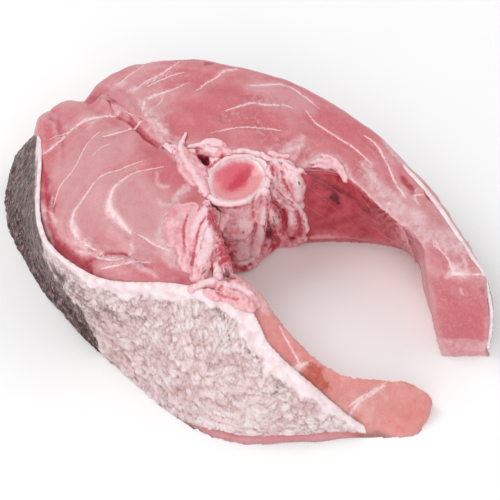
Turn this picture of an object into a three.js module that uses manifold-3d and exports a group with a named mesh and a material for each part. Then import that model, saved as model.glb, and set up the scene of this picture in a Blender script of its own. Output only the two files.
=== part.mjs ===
// A raw groper steak: one slice cut straight across a large sea fish, lying on its cut face.
// Millimetres, +Z up. The flesh is a horseshoe of two loins joined at the dorsal cleft, with a belly flap
// running on from each, round the empty body cavity. The backbone stands in the middle and the skin wraps
// the outside. +Y points to the fish's back, -Y to its belly, and the near loin is the one at -X. Places
// are measured from the backbone's axis, and the finished part is moved to stand on the middle of its box.
import * as THREE from 'three';
import { mergeVertices } from 'three/addons/utils/BufferGeometryUtils.js';
import Module from 'manifold-3d';

const wasm = await Module();
wasm.setup();

// ---- Driving dimensions ----
const steakThickness = 42; // between the two cut faces, at the loins
const touchGap = 0.3; // between pieces that touch

// Skin
const skinThickness = 2.2; // with the white fat under it
const skinGap = 0.8; // behind it
const skinFoot = 3.0; // it has shrunk, so its lower edge stays this far above the board
const skinProud = 1.0; // how far its upper edge stands above the flesh beside it
const skinPeel = 2.6; // gap that has opened behind the near skin's upper edge
const peelDepth = 0.28; // how far down the side that gap reaches, as a share

// Flesh
const wallBulge = 3.0; // how far the side swells between the two cut faces
const shoulderDrop = 3.6; // the flesh rounds off behind the skin's upper edge by this much
const shoulderWidth = 7.0;
const edgeDrop = 0.6; // and along the inner edge by this much
const edgeWidth = 4.0;
const cleftDepth = 5.0; // dorsal cleft between the loins, at the outside
const cleftWidth = 5.0;
const loinSwell = 3.0; // the raw loins bulge this much above the plane of the cut
const flakeSwell = 0.5; // relief of the muscle flakes in the cut
const flakeWidth = 19.0;

// Lining of the body cavity, on the far side
const liningThickness = 1.3;
const liningGap = 0.8; // behind it
const liningFoot = 0.1; // it stops this share of the height above the board

// Backbone
const centrumWidth = 33; // across the fish
const centrumDepth = 27; // back to belly
const backboneHeight = 44; // it stands a little proud of the flesh
const vertebraCount = 2; // whole vertebrae in the slice
const waist = 0.8; // narrowest part of a vertebra, as a share of its rim
const rimWidth = 0.22; // flat rim of the joint face, as a share of the radius
const rimRound = 1.2; // rounding of the rim's outer edge
const coneDepth = 6.5; // hollow of the joint face, above the jelly that fills its bottom
const archHeight = 0.94; // how much of a vertebra's length its arch takes up
const ribReach = 14; // stub of rib on each side
const ribThickness = 7;

// The frames of the steak, from the tip of the near flap, round the back, to the tip of the far flap.
// Each has four corners in plan: the skin line and the inner edge, on the upper cut and on the board,
// then the heights of the upper two.
const frames = [
  { at: 'near tip', skin: [-33, -117], foot: [-34, -118], inner: [-15, -114], heel: [-14, -112], h: [2.5, 8] },
  { at: 'near flap end', skin: [-42, -106], foot: [-42, -108], inner: [-18, -106], heel: [-17, -103], h: [2.5, 11] },
  { at: 'near flap', skin: [-52, -82], foot: [-65, -85], inner: [-37, -87], heel: [-46, -82], h: [22, 21] },
  { at: 'near flap rise', skin: [-56, -63], foot: [-81, -66], inner: [-42, -67], heel: [-62, -65], h: [35, 32] },
  { at: 'near flap root', skin: [-51, -45], foot: [-87, -46], inner: [-40, -46], heel: [-66, -47], h: [42, 39] },
  { at: 'near belly', skin: [-60, -20], foot: [-85, -19], inner: [-33, -19], heel: [-42, -25], h: [42, 41] },
  { at: 'near side', skin: [-77, 8], foot: [-80, 9], inner: [-14, -3], heel: [-16, -6], h: [42, 42] },
  { at: 'near loin', skin: [-69, 44], foot: [-72, 46], inner: [-8, 4], heel: [-8, 4], h: [42, 42] },
  { at: 'near back', skin: [-41, 78], foot: [-54, 89], inner: [-5, 7], heel: [-5, 7], h: [41, 42] },
  { at: 'near crest', skin: [-19, 94], foot: [-30, 108], inner: [-2, 8], heel: [-2, 8], h: [38, 42] },
  { at: 'cleft', skin: [2, 90], foot: [3, 101], inner: [0, 8], heel: [0, 8], h: [38, 42] },
  { at: 'far crest', skin: [20, 88], foot: [24, 98], inner: [2, 8], heel: [2, 8], h: [38, 42] },
  { at: 'far back', skin: [37, 75], foot: [44, 81], inner: [5, 7], heel: [5, 7], h: [40, 42] },
  { at: 'far loin', skin: [57, 33], foot: [67, 36], inner: [9, 2], heel: [9, 2], h: [42, 42] },
  { at: 'far side', skin: [61, 12], foot: [72, 13], inner: [11, -4], heel: [9, -10], h: [42, 42] },
  { at: 'far belly', skin: [58, -29], foot: [75, -33], inner: [33, -27], heel: [32, -36], h: [42, 41] },
  { at: 'far flap', skin: [48, -65], foot: [63, -71], inner: [28, -59], heel: [45, -62], h: [42, 41] },
  { at: 'far flap end', skin: [33, -97], foot: [36, -101], inner: [25, -77], heel: [30, -81], h: [42, 41] },
  { at: 'far tip', skin: [27, -110], foot: [22, -120], inner: [15, -88], heel: [9, -104], h: [41, 40] },
];

const rail = (pick) => new THREE.CatmullRomCurve3(frames.map(pick), false, 'centripetal');
const skinLine = rail((f) => new THREE.Vector3(f.skin[0], f.skin[1], f.h[0]));
const footLine = rail((f) => new THREE.Vector3(f.foot[0], f.foot[1], 0));
const innerLine = rail((f) => new THREE.Vector3(f.inner[0], f.inner[1], f.h[1]));
const heelLine = rail((f) => new THREE.Vector3(f.heel[0], f.heel[1], 0));

const clamp = THREE.MathUtils.clamp;
const lerp = THREE.MathUtils.lerp;
const smoothstep = THREE.MathUtils.smoothstep;

// The share of the way along the rails at which a frame stands, or a place some frames past it.
function along(name, past = 0) {
  return (frames.findIndex((f) => f.at === name) + past) / (frames.length - 1);
}

// A point of a side, t along the steak and w down it, from 0 at the upper cut to 1 at the board, moved
// out square to the side by proud. The outer side lies between the skin line and the foot line, and the
// side of the body cavity between the inner edge and the heel.
function wallPoint(upper, lower, t, w, proud) {
  const step = 0.006;
  const before = upper.getPoint(clamp(t - step, 0, 1)).lerp(lower.getPoint(clamp(t - step, 0, 1)), 0.5);
  const after = upper.getPoint(clamp(t + step, 0, 1)).lerp(lower.getPoint(clamp(t + step, 0, 1)), 0.5);
  const outward = new THREE.Vector3(before.y - after.y, after.x - before.x, 0).normalize();
  return upper.getPoint(t).lerp(lower.getPoint(t), w).addScaledVector(outward, proud);
}

function sidePoint(t, w, proud) {
  const height = clamp(skinLine.getPoint(t).z / steakThickness, 0, 1);
  const swell = wallBulge * Math.sin(Math.PI * clamp(w, 0, 1)) * height;
  return wallPoint(skinLine, footLine, t, w, swell + proud);
}

// Where the skin starts and ends along the steak, at each height. The strip with the back fin has been cut
// away, so bare flesh shows on both sides of the cleft, and the near skin ends in a slanting cut.
const nearSkin = {
  start: () => along('near flap end', 0.1),
  end: (w) => along('near back', lerp(0.45, 0.95, w)),
  proud: skinProud,
};
const farSkin = {
  start: (w) => along('far back', lerp(0, -0.3, w)),
  end: () => along('far tip'),
  proud: -0.8,
};

// 1 along the near side, where the skin has pulled away from the loin, and 0 elsewhere.
function pulledAway(t) {
  const opens = smoothstep(t, along('near belly', 0.25), along('near side', 0.25));
  return opens * (1 - smoothstep(t, along('near loin', 0.9), along('near back', 0.8)));
}

// The share of the way down the side at t at which the skin ends.
function skinBottom(t) {
  const height = Math.max(skinLine.getPoint(t).z, 1);
  return 1 - Math.min(skinFoot / height, 0.3);
}

// How much of the side at t, w lies behind skin, from 0 to 1, with a soft edge past the skin's ends.
function skinned(t, w) {
  const margin = along('near tip', 0.3);
  const edge = along('near tip', 0.7);
  return Math.max(
    ...[nearSkin, farSkin].map((skin) => {
      const started = smoothstep(t, skin.start(w) - edge, skin.start(w) - margin);
      return started * (1 - smoothstep(t, skin.end(w) + margin, skin.end(w) + edge));
    }),
  );
}

// How far inside the outline the flesh lies.
function fleshInset(t, w) {
  const peel = skinPeel * pulledAway(t) * (1 - smoothstep(w, 0, peelDepth));
  return (skinThickness + skinGap) * skinned(t, w) + peel;
}

// The upper cut at t, and v across it from the inner edge to the skin line.
function cutPoint(t, v) {
  const inner = innerLine.getPoint(t);
  const outer = sidePoint(t, 0, -fleshInset(t, 0));
  const point = inner.clone().lerp(outer, v);
  const width = inner.distanceTo(outer);
  const fromSkin = (1 - v) * width;
  const fromInner = v * width;
  const loin = smoothstep(width, 20, 50);
  point.z += loinSwell * loin * Math.sin(Math.PI * clamp(v, 0, 1)) ** 0.8;
  point.z += flakeSwell * loin * Math.sin((fromSkin / flakeWidth) * 2 * Math.PI) * smoothstep(fromInner, 14, 34);
  const shoulder = shoulderDrop * (1 - smoothstep(fromSkin, 0, shoulderWidth)) ** 1.6;
  point.z -= shoulder * lerp(0.3, 1, pulledAway(t));
  point.z -= edgeDrop * (1 - smoothstep(fromInner, 0, edgeWidth));
  const fromCleft = (point.x - 1) / cleftWidth;
  point.z -= smoothstep(point.y, 18, 84) * cleftDepth * Math.exp(-(fromCleft ** 2));
  return point;
}

// One frame of the flesh: a closed loop of points across the upper cut, down the outer side, back along
// the board and up the inner side.
function fleshLoop(t) {
  const across = 14;
  const down = 7;
  const under = 4;
  const up = 5;
  const loop = shares(across).map((v) => cutPoint(t, v));
  const top = loop[across].z;
  for (const u of shares(down).slice(1)) {
    const w = u * (skinBottom(t) + 0.01);
    loop.push(sidePoint(t, w, -fleshInset(t, w)).setZ(lerp(top, 0, w)));
  }
  const foot = sidePoint(t, 1, 0);
  loop.push(foot);
  const heel = heelLine.getPoint(t);
  for (const u of shares(under).slice(1)) {
    loop.push(foot.clone().lerp(heel, u));
  }
  for (const u of shares(up).slice(1, up)) {
    loop.push(heel.clone().lerp(loop[0], u));
  }
  return loop;
}

// One frame of the skin: down its outer face and back up its inner one.
function skinLoop(skin, share) {
  const down = 6;
  const highest = -skin.proud / steakThickness;
  const lowest = skinBottom(lerp(skin.start(0), skin.end(0), share));
  const at = (u, proud) => {
    const w = lerp(highest, lowest, u);
    const t = lerp(skin.start(clamp(w, 0, 1)), skin.end(clamp(w, 0, 1)), share);
    return sidePoint(t, w, proud);
  };
  const outer = shares(down).map((u) => at(u, 0));
  const inner = shares(down).map((u) => at(1 - u, -skinThickness));
  return [...outer, ...inner];
}

// One frame of the thin lining that hangs on the far side of the body cavity.
const lining = { start: along('far side', 0.4), end: along('far flap', 0.4) };

function liningLoop(share) {
  const down = 5;
  const t = lerp(lining.start, lining.end, share);
  const at = (u, off) => wallPoint(innerLine, heelLine, t, lerp(0.02, 1 - liningFoot, u), -liningGap - off);
  const onFlesh = shares(down).map((u) => at(u, 0));
  const inCavity = shares(down).map((u) => at(1 - u, liningThickness));
  return [...onFlesh, ...inCavity];
}

// A closed solid through a row of loops that all have the same number of points.
function loft(loops) {
  const ring = loops[0].length;
  const centre = (loop) => loop.reduce((sum, p) => sum.add(p), new THREE.Vector3()).divideScalar(ring);
  const points = [...loops.flat(), centre(loops[0]), centre(loops[loops.length - 1])];
  const first = loops.length * ring;
  const last = first + 1;
  const index = [];
  for (let j = 0; j + 1 < loops.length; j += 1) {
    for (let i = 0; i < ring; i += 1) {
      const a = j * ring + i;
      const b = j * ring + ((i + 1) % ring);
      index.push(a, a + ring, b, b, a + ring, b + ring);
    }
  }
  for (let i = 0; i < ring; i += 1) {
    const next = (i + 1) % ring;
    index.push(i, next, first);
    index.push(first - ring + next, first - ring + i, last);
  }
  const geometry = new THREE.BufferGeometry().setFromPoints(points);
  geometry.setIndex(index);
  return geometry;
}

// Rounds off an end of the flesh with loops that shrink towards the board.
function roundedEnd(loop, away, length, shrink) {
  const middle = loop.reduce((sum, p) => sum.add(p), new THREE.Vector3()).divideScalar(loop.length);
  return [0.31, 0.62, 0.92].map((share) => {
    const angle = (share * Math.PI) / 2;
    const scale = 1 - shrink * (1 - Math.cos(angle));
    return loop.map((p) => {
      const q = p.clone().sub(middle).multiplyScalar(scale).add(middle);
      return q.setZ(p.z * scale).addScaledVector(away, length * Math.sin(angle));
    });
  });
}

// count + 1 even shares from 0 to 1.
function shares(count) {
  return Array.from({ length: count + 1 }, (_, i) => i / count);
}

// ---- Solids for the cuts and joins ----
function solidOf(geometry) {
  const bare = geometry.clone();
  bare.deleteAttribute('normal');
  bare.deleteAttribute('uv');
  const merged = mergeVertices(bare, 1e-4);
  return new wasm.Manifold(
    new wasm.Mesh({
      numProp: 3,
      vertProperties: new Float32Array(merged.attributes.position.array),
      triVerts: new Uint32Array(merged.index.array),
    }),
  );
}

function geometryOf(solid) {
  const made = solid.getMesh();
  const geometry = new THREE.BufferGeometry();
  geometry.setAttribute('position', new THREE.BufferAttribute(new Float32Array(made.vertProperties), 3));
  geometry.setIndex(new THREE.BufferAttribute(new Uint32Array(made.triVerts), 1));
  return geometry;
}

// The one body that is left when a cut has thrown off small scraps.
function largest(solid) {
  return solid.decompose().reduce((best, piece) => (piece.volume() > best.volume() ? piece : best));
}

// ---- Backbone ----
// A turned solid with an oval section, from a profile of radius shares and heights.
function ovalTurned(profile, width, depth) {
  const sides = 28;
  const geometry = new THREE.LatheGeometry(profile.map(([r, z]) => new THREE.Vector2(r, z)), sides);
  geometry.rotateX(Math.PI / 2);
  geometry.scale(width / 2, depth / 2, 1);
  return solidOf(geometry);
}

// The hourglass side of a vertebra that stands from floor to top, wider by grow all round.
function centrum(floor, top, grow) {
  const turns = 7;
  const side = shares(turns).map((s) => {
    const narrow = 1 - (1 - waist) * Math.sin(Math.PI * s) ** 1.3;
    return [narrow, lerp(floor + rimRound, top - rimRound, s)];
  });
  const ends = 1 - rimWidth * 0.4;
  const profile = [[0, floor], [ends, floor], ...side, [ends, top], [0, top]];
  return ovalTurned(profile, centrumWidth + grow * 2, centrumDepth + grow * 2);
}

// The hollow cone of a joint face, to be cut from a vertebra. It opens upwards.
function jointCone(top) {
  const reach = 1 - rimWidth;
  const over = 5;
  const profile = [
    [0, top - coneDepth],
    [reach * 0.5, top - coneDepth * 0.72],
    [reach, top - 0.8],
    [reach, top + over],
    [0, top + over],
  ];
  return ovalTurned(profile, centrumWidth, centrumDepth);
}

// The arch behind a vertebra, seen from above, with the spine that runs on into the cleft. The nerve cord's
// canal runs through it.
function arch(floor, top, grow) {
  const shape = new THREE.Shape();
  shape.moveTo(-13 - grow, 3);
  shape.quadraticCurveTo(-11 - grow, 17 + grow, -6.5 - grow, 27 + grow);
  shape.lineTo(-5.5 - grow, 38 + grow);
  shape.lineTo(-2.5 + grow, 38 + grow);
  shape.quadraticCurveTo(-1.5 + grow, 30 + grow, 4 + grow, 25 + grow);
  shape.quadraticCurveTo(11 + grow, 20 + grow, 12 + grow, 5);
  shape.closePath();
  const geometry = new THREE.ExtrudeGeometry(shape, { depth: top - floor, bevelEnabled: false, curveSegments: 6 });
  return solidOf(geometry.translate(0, 0, floor));
}

function canal() {
  const geometry = new THREE.CylinderGeometry(1, 1, backboneHeight * 2, 14);
  geometry.rotateX(Math.PI / 2);
  geometry.scale(2.8, 4.2, 1);
  return solidOf(geometry.translate(-0.5, 19, 0));
}

// A stub of rib: a tapered bar that leaves the side of a vertebra towards the belly.
function ribStub(side, height, grow) {
  const way = new THREE.Vector3(0.95 * side, -0.24, -0.16).normalize();
  const geometry = new THREE.CylinderGeometry(ribThickness * 0.3 + grow, ribThickness * 0.5 + grow, ribReach + grow, 10);
  geometry.translate(0, (ribReach + grow) / 2, 0);
  geometry.applyQuaternion(new THREE.Quaternion().setFromUnitVectors(new THREE.Vector3(0, 1, 0), way));
  return solidOf(geometry.translate(11 * side, -3, height));
}

// One vertebra with its arch and its two stubs of rib. The lowest stands just clear of the board.
function vertebra(number, grow) {
  const length = backboneHeight / vertebraCount;
  const floor = number * length + (number === 0 ? 0.6 : touchGap / 2) - grow;
  const top = (number + 1) * length - (number + 1 < vertebraCount ? touchGap / 2 : 0) + grow;
  const archFloor = lerp(top, floor, archHeight);
  const height = lerp(floor, top, 0.55);
  return centrum(floor, top, grow)
    .add(arch(archFloor, top - rimRound, grow))
    .add(ribStub(-1, height, grow))
    .add(ribStub(1, height, grow));
}

const vertebrae = Array.from({ length: vertebraCount }, (_, i) => vertebra(i, 0).subtract(canal()));
vertebrae[vertebraCount - 1] = vertebrae[vertebraCount - 1].subtract(jointCone(backboneHeight));

// The pocket that the backbone fills in the flesh, open above and below.
function backbonePocket() {
  const over = 10;
  const through = [[0, -over], [1, -over], [1, backboneHeight + over], [0, backboneHeight + over]];
  let pocket = ovalTurned(through, (centrumWidth + touchGap * 2) * 1.01, (centrumDepth + touchGap * 2) * 1.01);
  pocket = pocket.add(arch(-over, backboneHeight + over, touchGap));
  for (const number of vertebrae.keys()) pocket = pocket.add(vertebra(number, touchGap));
  return pocket;
}

// ---- The part ----
const group = new THREE.Group();

function addMesh(name, geometry, colour, roughness) {
  geometry.computeVertexNormals();
  const material = new THREE.MeshStandardMaterial({ color: colour, roughness, metalness: 0 });
  const mesh = new THREE.Mesh(geometry, material);
  mesh.name = name;
  group.add(mesh);
}

function fleshSolid() {
  const perFrame = 5;
  const loops = shares((frames.length - 1) * perFrame).map((t) => fleshLoop(t));
  const nearAway = new THREE.Vector3(0.35, -0.94, 0).normalize();
  const farAway = new THREE.Vector3(-0.78, -0.62, 0).normalize();
  const rings = [
    ...roundedEnd(loops[0], nearAway, 5, 0.75).reverse(),
    ...loops,
    ...roundedEnd(loops[loops.length - 1], farAway, 2, 0.12),
  ];
  return largest(solidOf(loft(rings)).subtract(backbonePocket()));
}

const skinLoops = (skin, count) => shares(count).map((s) => skinLoop(skin, s));

addMesh('flesh', geometryOf(fleshSolid()), 0xd98a8c, 0.35);
addMesh('near_skin', loft(skinLoops(nearSkin, 48)), 0xb9a7a6, 0.4);
addMesh('far_skin', loft(skinLoops(farSkin, 36)), 0xb9a7a6, 0.4);
addMesh('cavity_lining', loft(shares(10).map((s) => liningLoop(s))), 0xe3b6b4, 0.35);
vertebrae.forEach((solid, i) => {
  addMesh(i === 0 ? 'lower_vertebra' : 'upper_vertebra', geometryOf(solid), 0xe9c0bf, 0.45);
});

const box = new THREE.Box3().setFromObject(group);
const middle = box.getCenter(new THREE.Vector3());
group.position.set(-middle.x, -middle.y, -box.min.z);

export default group;
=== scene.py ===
# %% [markdown]
# # A raw fish steak, lesson by lesson
# The solids of the steak come from its CAD frame: the flesh, two pieces of skin, the thin lining of the
# belly and two vertebrae. Here each of them is dressed. The flesh gets its flakes and the pale lines between
# them, the skin its scales, the backbone its gristle and jelly. Everything is in metres.

import bpy
import numpy as np
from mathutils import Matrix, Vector, noise
from mathutils.bvhtree import BVHTree


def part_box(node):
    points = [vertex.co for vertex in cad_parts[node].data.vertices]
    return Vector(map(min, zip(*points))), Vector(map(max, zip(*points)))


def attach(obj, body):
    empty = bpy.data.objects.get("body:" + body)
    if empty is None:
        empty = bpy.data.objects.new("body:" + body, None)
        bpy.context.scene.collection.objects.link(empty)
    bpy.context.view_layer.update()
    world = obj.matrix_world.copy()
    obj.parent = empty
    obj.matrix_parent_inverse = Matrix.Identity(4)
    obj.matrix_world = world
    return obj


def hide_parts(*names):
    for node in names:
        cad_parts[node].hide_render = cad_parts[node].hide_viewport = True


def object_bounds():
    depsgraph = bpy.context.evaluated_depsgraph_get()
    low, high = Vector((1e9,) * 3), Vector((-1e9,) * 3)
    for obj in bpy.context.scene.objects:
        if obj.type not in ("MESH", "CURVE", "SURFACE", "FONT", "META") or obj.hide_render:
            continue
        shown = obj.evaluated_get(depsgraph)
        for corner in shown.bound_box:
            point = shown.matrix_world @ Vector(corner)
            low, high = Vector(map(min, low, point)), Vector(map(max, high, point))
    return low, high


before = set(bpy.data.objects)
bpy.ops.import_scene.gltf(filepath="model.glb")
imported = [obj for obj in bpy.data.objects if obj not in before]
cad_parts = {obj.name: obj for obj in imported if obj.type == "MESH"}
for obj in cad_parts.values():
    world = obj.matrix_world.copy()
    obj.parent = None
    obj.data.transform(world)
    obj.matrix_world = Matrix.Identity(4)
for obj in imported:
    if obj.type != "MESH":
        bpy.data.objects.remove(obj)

cad_box = [list(corner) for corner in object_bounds()]
print("CAD box", cad_box)

# %% [markdown]
# ## Places
# A fish is easiest to describe from its backbone. So every place below is in millimetres from the backbone's
# axis: x across the fish, y towards its back, z up from the board. The axis is read off the lower vertebra,
# whose two rib stubs reach equally far to both sides and whose belly side lies half its depth from the axis.

# %% The backbone's axis
MM = 0.001
CENTRUM_WIDTH = 33.0
CENTRUM_DEPTH = 27.0
STEAK_TOP = 44.0
low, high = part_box("lower_vertebra")
AXIS = np.array([(low[0] + high[0]) / 2, low[1] + CENTRUM_DEPTH / 2 * MM, 0.0])


def to_fish(points):
    return (points - AXIS) / MM


def to_frame(points):
    return np.asarray(points, dtype=float) * MM + AXIS


print("backbone axis at", AXIS.round(4))

# %% [markdown]
# ## The camera, the light and the board
# The photograph looks down at about fifty degrees, over the near flap and the near loin, through a long lens.
# Food like this is lit by broad soft lights, one behind and above, which puts wet glints on the cut face, and
# wider ones in front and at the side. The board is plain and pale.

# %% Camera
CAMERA_PLACE = (-380.7, -326.7, 594.5)
CAMERA_TARGET = (-11.4, -16.8, 20.0)
LENS = 126.9

scene = bpy.context.scene
scene.view_settings.view_transform = "Standard"
place = Vector(to_frame(CAMERA_PLACE))
target = Vector(to_frame(CAMERA_TARGET))
bpy.ops.object.camera_add(location=place)
camera = bpy.context.object
camera.rotation_euler = (target - place).to_track_quat("-Z", "Y").to_euler()
camera.data.lens = LENS
scene.camera = camera
print("camera", tuple(round(v, 3) for v in place))

# %% [markdown]
# Many small things, such as a fold of fat or a spot of blood, are easiest to place where the photograph
# shows them. Three helpers go between the photograph's 500 by 500 pixels and the steak: one tells where the
# photograph sees a point, one whether the surface there faces the camera, and one gives the line of sight
# through a pixel.

# %% Between the photograph and the steak
IMAGE_SIZE = 500
SENSOR = 36.0  # mm, Blender's own
SIGHT = (target - place).normalized()
SIGHT_RIGHT = SIGHT.cross(Vector((0, 0, 1))).normalized()
SIGHT_UP = SIGHT_RIGHT.cross(SIGHT)
PIXELS = IMAGE_SIZE * LENS / SENSOR  # pixels across a thing as wide as it is far away


def seen(points):
    """Each point's pixel across and down in the photograph, and its distance from the camera in mm."""
    from_camera = points - np.array(CAMERA_PLACE)
    distance = from_camera @ np.array(SIGHT)
    across = IMAGE_SIZE / 2 + PIXELS * (from_camera @ np.array(SIGHT_RIGHT)) / distance
    down = IMAGE_SIZE / 2 - PIXELS * (from_camera @ np.array(SIGHT_UP)) / distance
    return np.column_stack([across, down, distance])


def towards_camera(points, facing):
    """1 where the surface is turned to the camera and 0 where it is turned away."""
    sight = np.array(CAMERA_PLACE) - points
    turned = (sight * facing).sum(1) / np.linalg.norm(sight, axis=1)
    return ((turned - 0.02) / 0.25).clip(0, 1)


def line_of_sight(across, down):
    rightwards = (across - IMAGE_SIZE / 2) / PIXELS
    upwards = (IMAGE_SIZE / 2 - down) / PIXELS
    return (SIGHT + SIGHT_RIGHT * rightwards + SIGHT_UP * upwards).normalized()


print("the backbone is seen at", seen(np.array([[0, 0, STEAK_TOP]])).round()[0, :2])


# %% Lights
LIT_PLACE = (0, 0, 20)


def soft_light(name, spot, size, watts):
    start = Vector(to_frame(spot))
    bpy.ops.object.light_add(type="AREA", location=start)
    light = bpy.context.object
    light.name = name
    light.data.size = size
    light.data.energy = watts
    aim = Vector(to_frame(LIT_PLACE)) - start
    light.rotation_euler = aim.to_track_quat("-Z", "Y").to_euler()


KEY_WATTS = 2.8
FILL_WATTS = 3.5
SIDE_WATTS = 1.5
SKY = 0.52
soft_light("key_light", (-120, 520, 720), 0.45, KEY_WATTS)
soft_light("fill_light", (-620, -420, 420), 0.8, FILL_WATTS)
soft_light("side_light", (560, -240, 520), 0.7, SIDE_WATTS)

world = bpy.data.worlds.new("studio")
world.use_nodes = True
world.node_tree.nodes["Background"].inputs["Color"].default_value = (1, 1, 1, 1)
world.node_tree.nodes["Background"].inputs["Strength"].default_value = SKY
scene.world = world
print(len(bpy.data.lights), "soft lights")


# %% [markdown]
# ## Materials as expressions
# A material is a graph of nodes. To keep the graphs readable, a small class wraps one output of a node and
# lets plain Python operators add the Math nodes, and one method adds any other node. Everything on this
# steak is wet and lets in some light, so all its materials end in the same kind of finish.

# %% A wire between nodes
class Wire:
    """One output of a node, on which + - * / add Math nodes."""

    def __init__(self, paint, socket):
        self.paint = paint
        self.socket = socket

    def maths(self, operation, first, second):
        return self.paint.node("ShaderNodeMath", {"operation": operation}, {0: first, 1: second})

    def __add__(self, other):
        return self.maths("ADD", self, other)

    def __sub__(self, other):
        return self.maths("SUBTRACT", self, other)

    def __rsub__(self, other):
        return self.maths("SUBTRACT", other, self)

    def __mul__(self, other):
        return self.maths("MULTIPLY", self, other)

    def __truediv__(self, other):
        return self.maths("DIVIDE", self, other)

    def size(self):
        return self.paint.node("ShaderNodeMath", {"operation": "ABSOLUTE"}, {0: self})

    def step(self, start, end):
        """0 at start and 1 at end, with soft ends; start may be the larger."""
        values = {"Value": self, "From Min": start, "From Max": end}
        return self.paint.node("ShaderNodeMapRange", {"interpolation_type": "SMOOTHSTEP"}, values)


# %% A material and its graph
class Paint:
    def __init__(self, name):
        self.material = bpy.data.materials.new(name)
        self.material.use_nodes = True
        self.tree = self.material.node_tree
        self.shader = self.tree.nodes["Principled BSDF"]

    def plug(self, socket, value):
        if isinstance(value, Wire):
            self.tree.links.new(value.socket, socket)
        elif socket.type == "RGBA":
            socket.default_value = (*value[:3], 1)
        else:
            socket.default_value = value

    def node(self, kind, settings, inputs, output=0):
        made = self.tree.nodes.new(kind)
        for key, value in settings.items():
            setattr(made, key, value)
        for key, value in inputs.items():
            self.plug(made.inputs[key], value)
        return Wire(self, made.outputs[output])

    def mix(self, factor, first, second):
        """A colour between two colours; sockets 6 and 7 of a Mix node hold colours, as does output 2."""
        values = {0: factor, 6: first, 7: second}
        return self.node("ShaderNodeMix", {"data_type": "RGBA"}, values, 2)

    def stretched(self, vector, factors):
        return self.node("ShaderNodeVectorMath", {"operation": "MULTIPLY"}, {0: vector, 1: factors})

    def position(self, *stretch):
        """Object coordinates in millimetres, each stretched by a number."""
        coordinates = self.node("ShaderNodeTexCoord", {}, {}, "Object")
        return self.stretched(coordinates, tuple(s / MM for s in (stretch or (1, 1, 1))))

    def attribute(self, name):
        return self.node("ShaderNodeAttribute", {"attribute_name": name}, {}, "Fac")

    def noise(self, vector, scale, detail):
        values = {"Vector": vector, "Scale": scale, "Detail": detail}
        return self.node("ShaderNodeTexNoise", {}, values, "Fac")

    def finish(self, **inputs):
        for key, value in inputs.items():
            self.plug(self.shader.inputs[key.replace("_", " ")], value)
        return self.material

    def wet(self, base, roughness, bump, scatter, coat, specular=0.5):
        """Wet tissue. bump is a height, its depth in mm and its strength. scatter is the share of light that
        goes in, how far its red, green and blue get, and a scale in mm. coat is a weight and a roughness."""
        height, depth, strength = bump
        share, reach, scale = scatter
        raised = {"Height": height, "Distance": depth * MM, "Strength": strength}
        return self.finish(
            Base_Color=base,
            Roughness=roughness,
            Normal=self.node("ShaderNodeBump", {}, raised, "Normal"),
            Specular_IOR_Level=specular,
            Subsurface_Weight=share,
            Subsurface_Radius=reach,
            Subsurface_Scale=scale * MM,
            Coat_Weight=coat[0],
            Coat_Roughness=coat[1],
        )


def colour(red, green, blue):
    """A colour as it looks on a screen, 0 to 255, made linear."""
    shares = [c / 255 for c in (red, green, blue)]
    return tuple(c / 12.92 if c <= 0.04045 else ((c + 0.055) / 1.055) ** 2.4 for c in shares)


# %% The board
def board_paint():
    paint = Paint("pale_board")
    grain = paint.noise(paint.position(), 0.02, 2.0)
    tone = paint.mix(grain, colour(252, 252, 252), colour(247, 247, 247))
    return paint.finish(Base_Color=tone, Roughness=0.9, Specular_IOR_Level=0.2)


bpy.ops.mesh.primitive_plane_add(size=6, location=(0, 0, 0))
board = bpy.context.object
board.name = "board"
board.data.materials.append(board_paint())
print("board", board.dimensions[:2])


# %% [markdown]
# ## From CAD solid to living surface
# The CAD solids are faceted. A merged copy of each is remeshed into even little squares and smoothed, so
# that its points are close enough together to carry soft relief. The points also carry attributes, such as
# how much blood and painted shade the flesh has there, and the materials read them.

# %% Modifiers and copies
def only(piece):
    bpy.ops.object.select_all(action="DESELECT")
    piece.select_set(True)
    bpy.context.view_layer.objects.active = piece


def apply_modifier(piece, kind, **settings):
    only(piece)
    bpy.ops.object.modifier_add(type=kind)
    modifier = piece.modifiers[-1]
    for key, value in settings.items():
        setattr(modifier, key, value)
    bpy.ops.object.modifier_apply(modifier=modifier.name)


def even_skin(piece, voxel, rounds):
    """Even faces of about voxel millimetres all over, smoothed a few rounds."""
    apply_modifier(piece, "REMESH", mode="VOXEL", voxel_size=voxel * MM)
    apply_modifier(piece, "SMOOTH", factor=0.5, iterations=rounds)


def fine_copy(node, name, voxel, rounds):
    """A piece that stands for a CAD node, made from a merged copy of it."""
    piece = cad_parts[node].copy()
    piece.data = piece.data.copy()
    piece.name = name
    piece.data.materials.clear()
    scene.collection.objects.link(piece)
    only(piece)
    bpy.ops.object.mode_set(mode="EDIT")
    bpy.ops.mesh.select_all(action="SELECT")
    bpy.ops.mesh.remove_doubles(threshold=0.01 * MM)
    bpy.ops.object.mode_set(mode="OBJECT")
    even_skin(piece, voxel, rounds)
    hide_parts(node)
    return piece


# %% Points of a piece
def vectors_of(piece, kind):
    """The co or the normal of every point, as the mesh holds it."""
    flat = np.empty(len(piece.data.vertices) * 3, dtype=np.float32)
    piece.data.vertices.foreach_get(kind, flat)
    return flat.reshape(-1, 3).astype(float)


def shape_of(piece):
    """Every point in fish millimetres, and the way it faces."""
    return to_fish(vectors_of(piece, "co")), vectors_of(piece, "normal")


def move_points(piece, points):
    """Put the points where they should be, never outside the CAD box."""
    inside = np.clip(to_frame(points), cad_box[0], cad_box[1])
    piece.data.vertices.foreach_set("co", inside.astype(np.float32).ravel())
    piece.data.update()


def write(piece, **attributes):
    """Give every point a number of each name."""
    for name, values in attributes.items():
        attribute = piece.data.attributes.new(name, "FLOAT", "POINT")
        attribute.data.foreach_set("value", np.asarray(values, dtype=np.float32))


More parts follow.
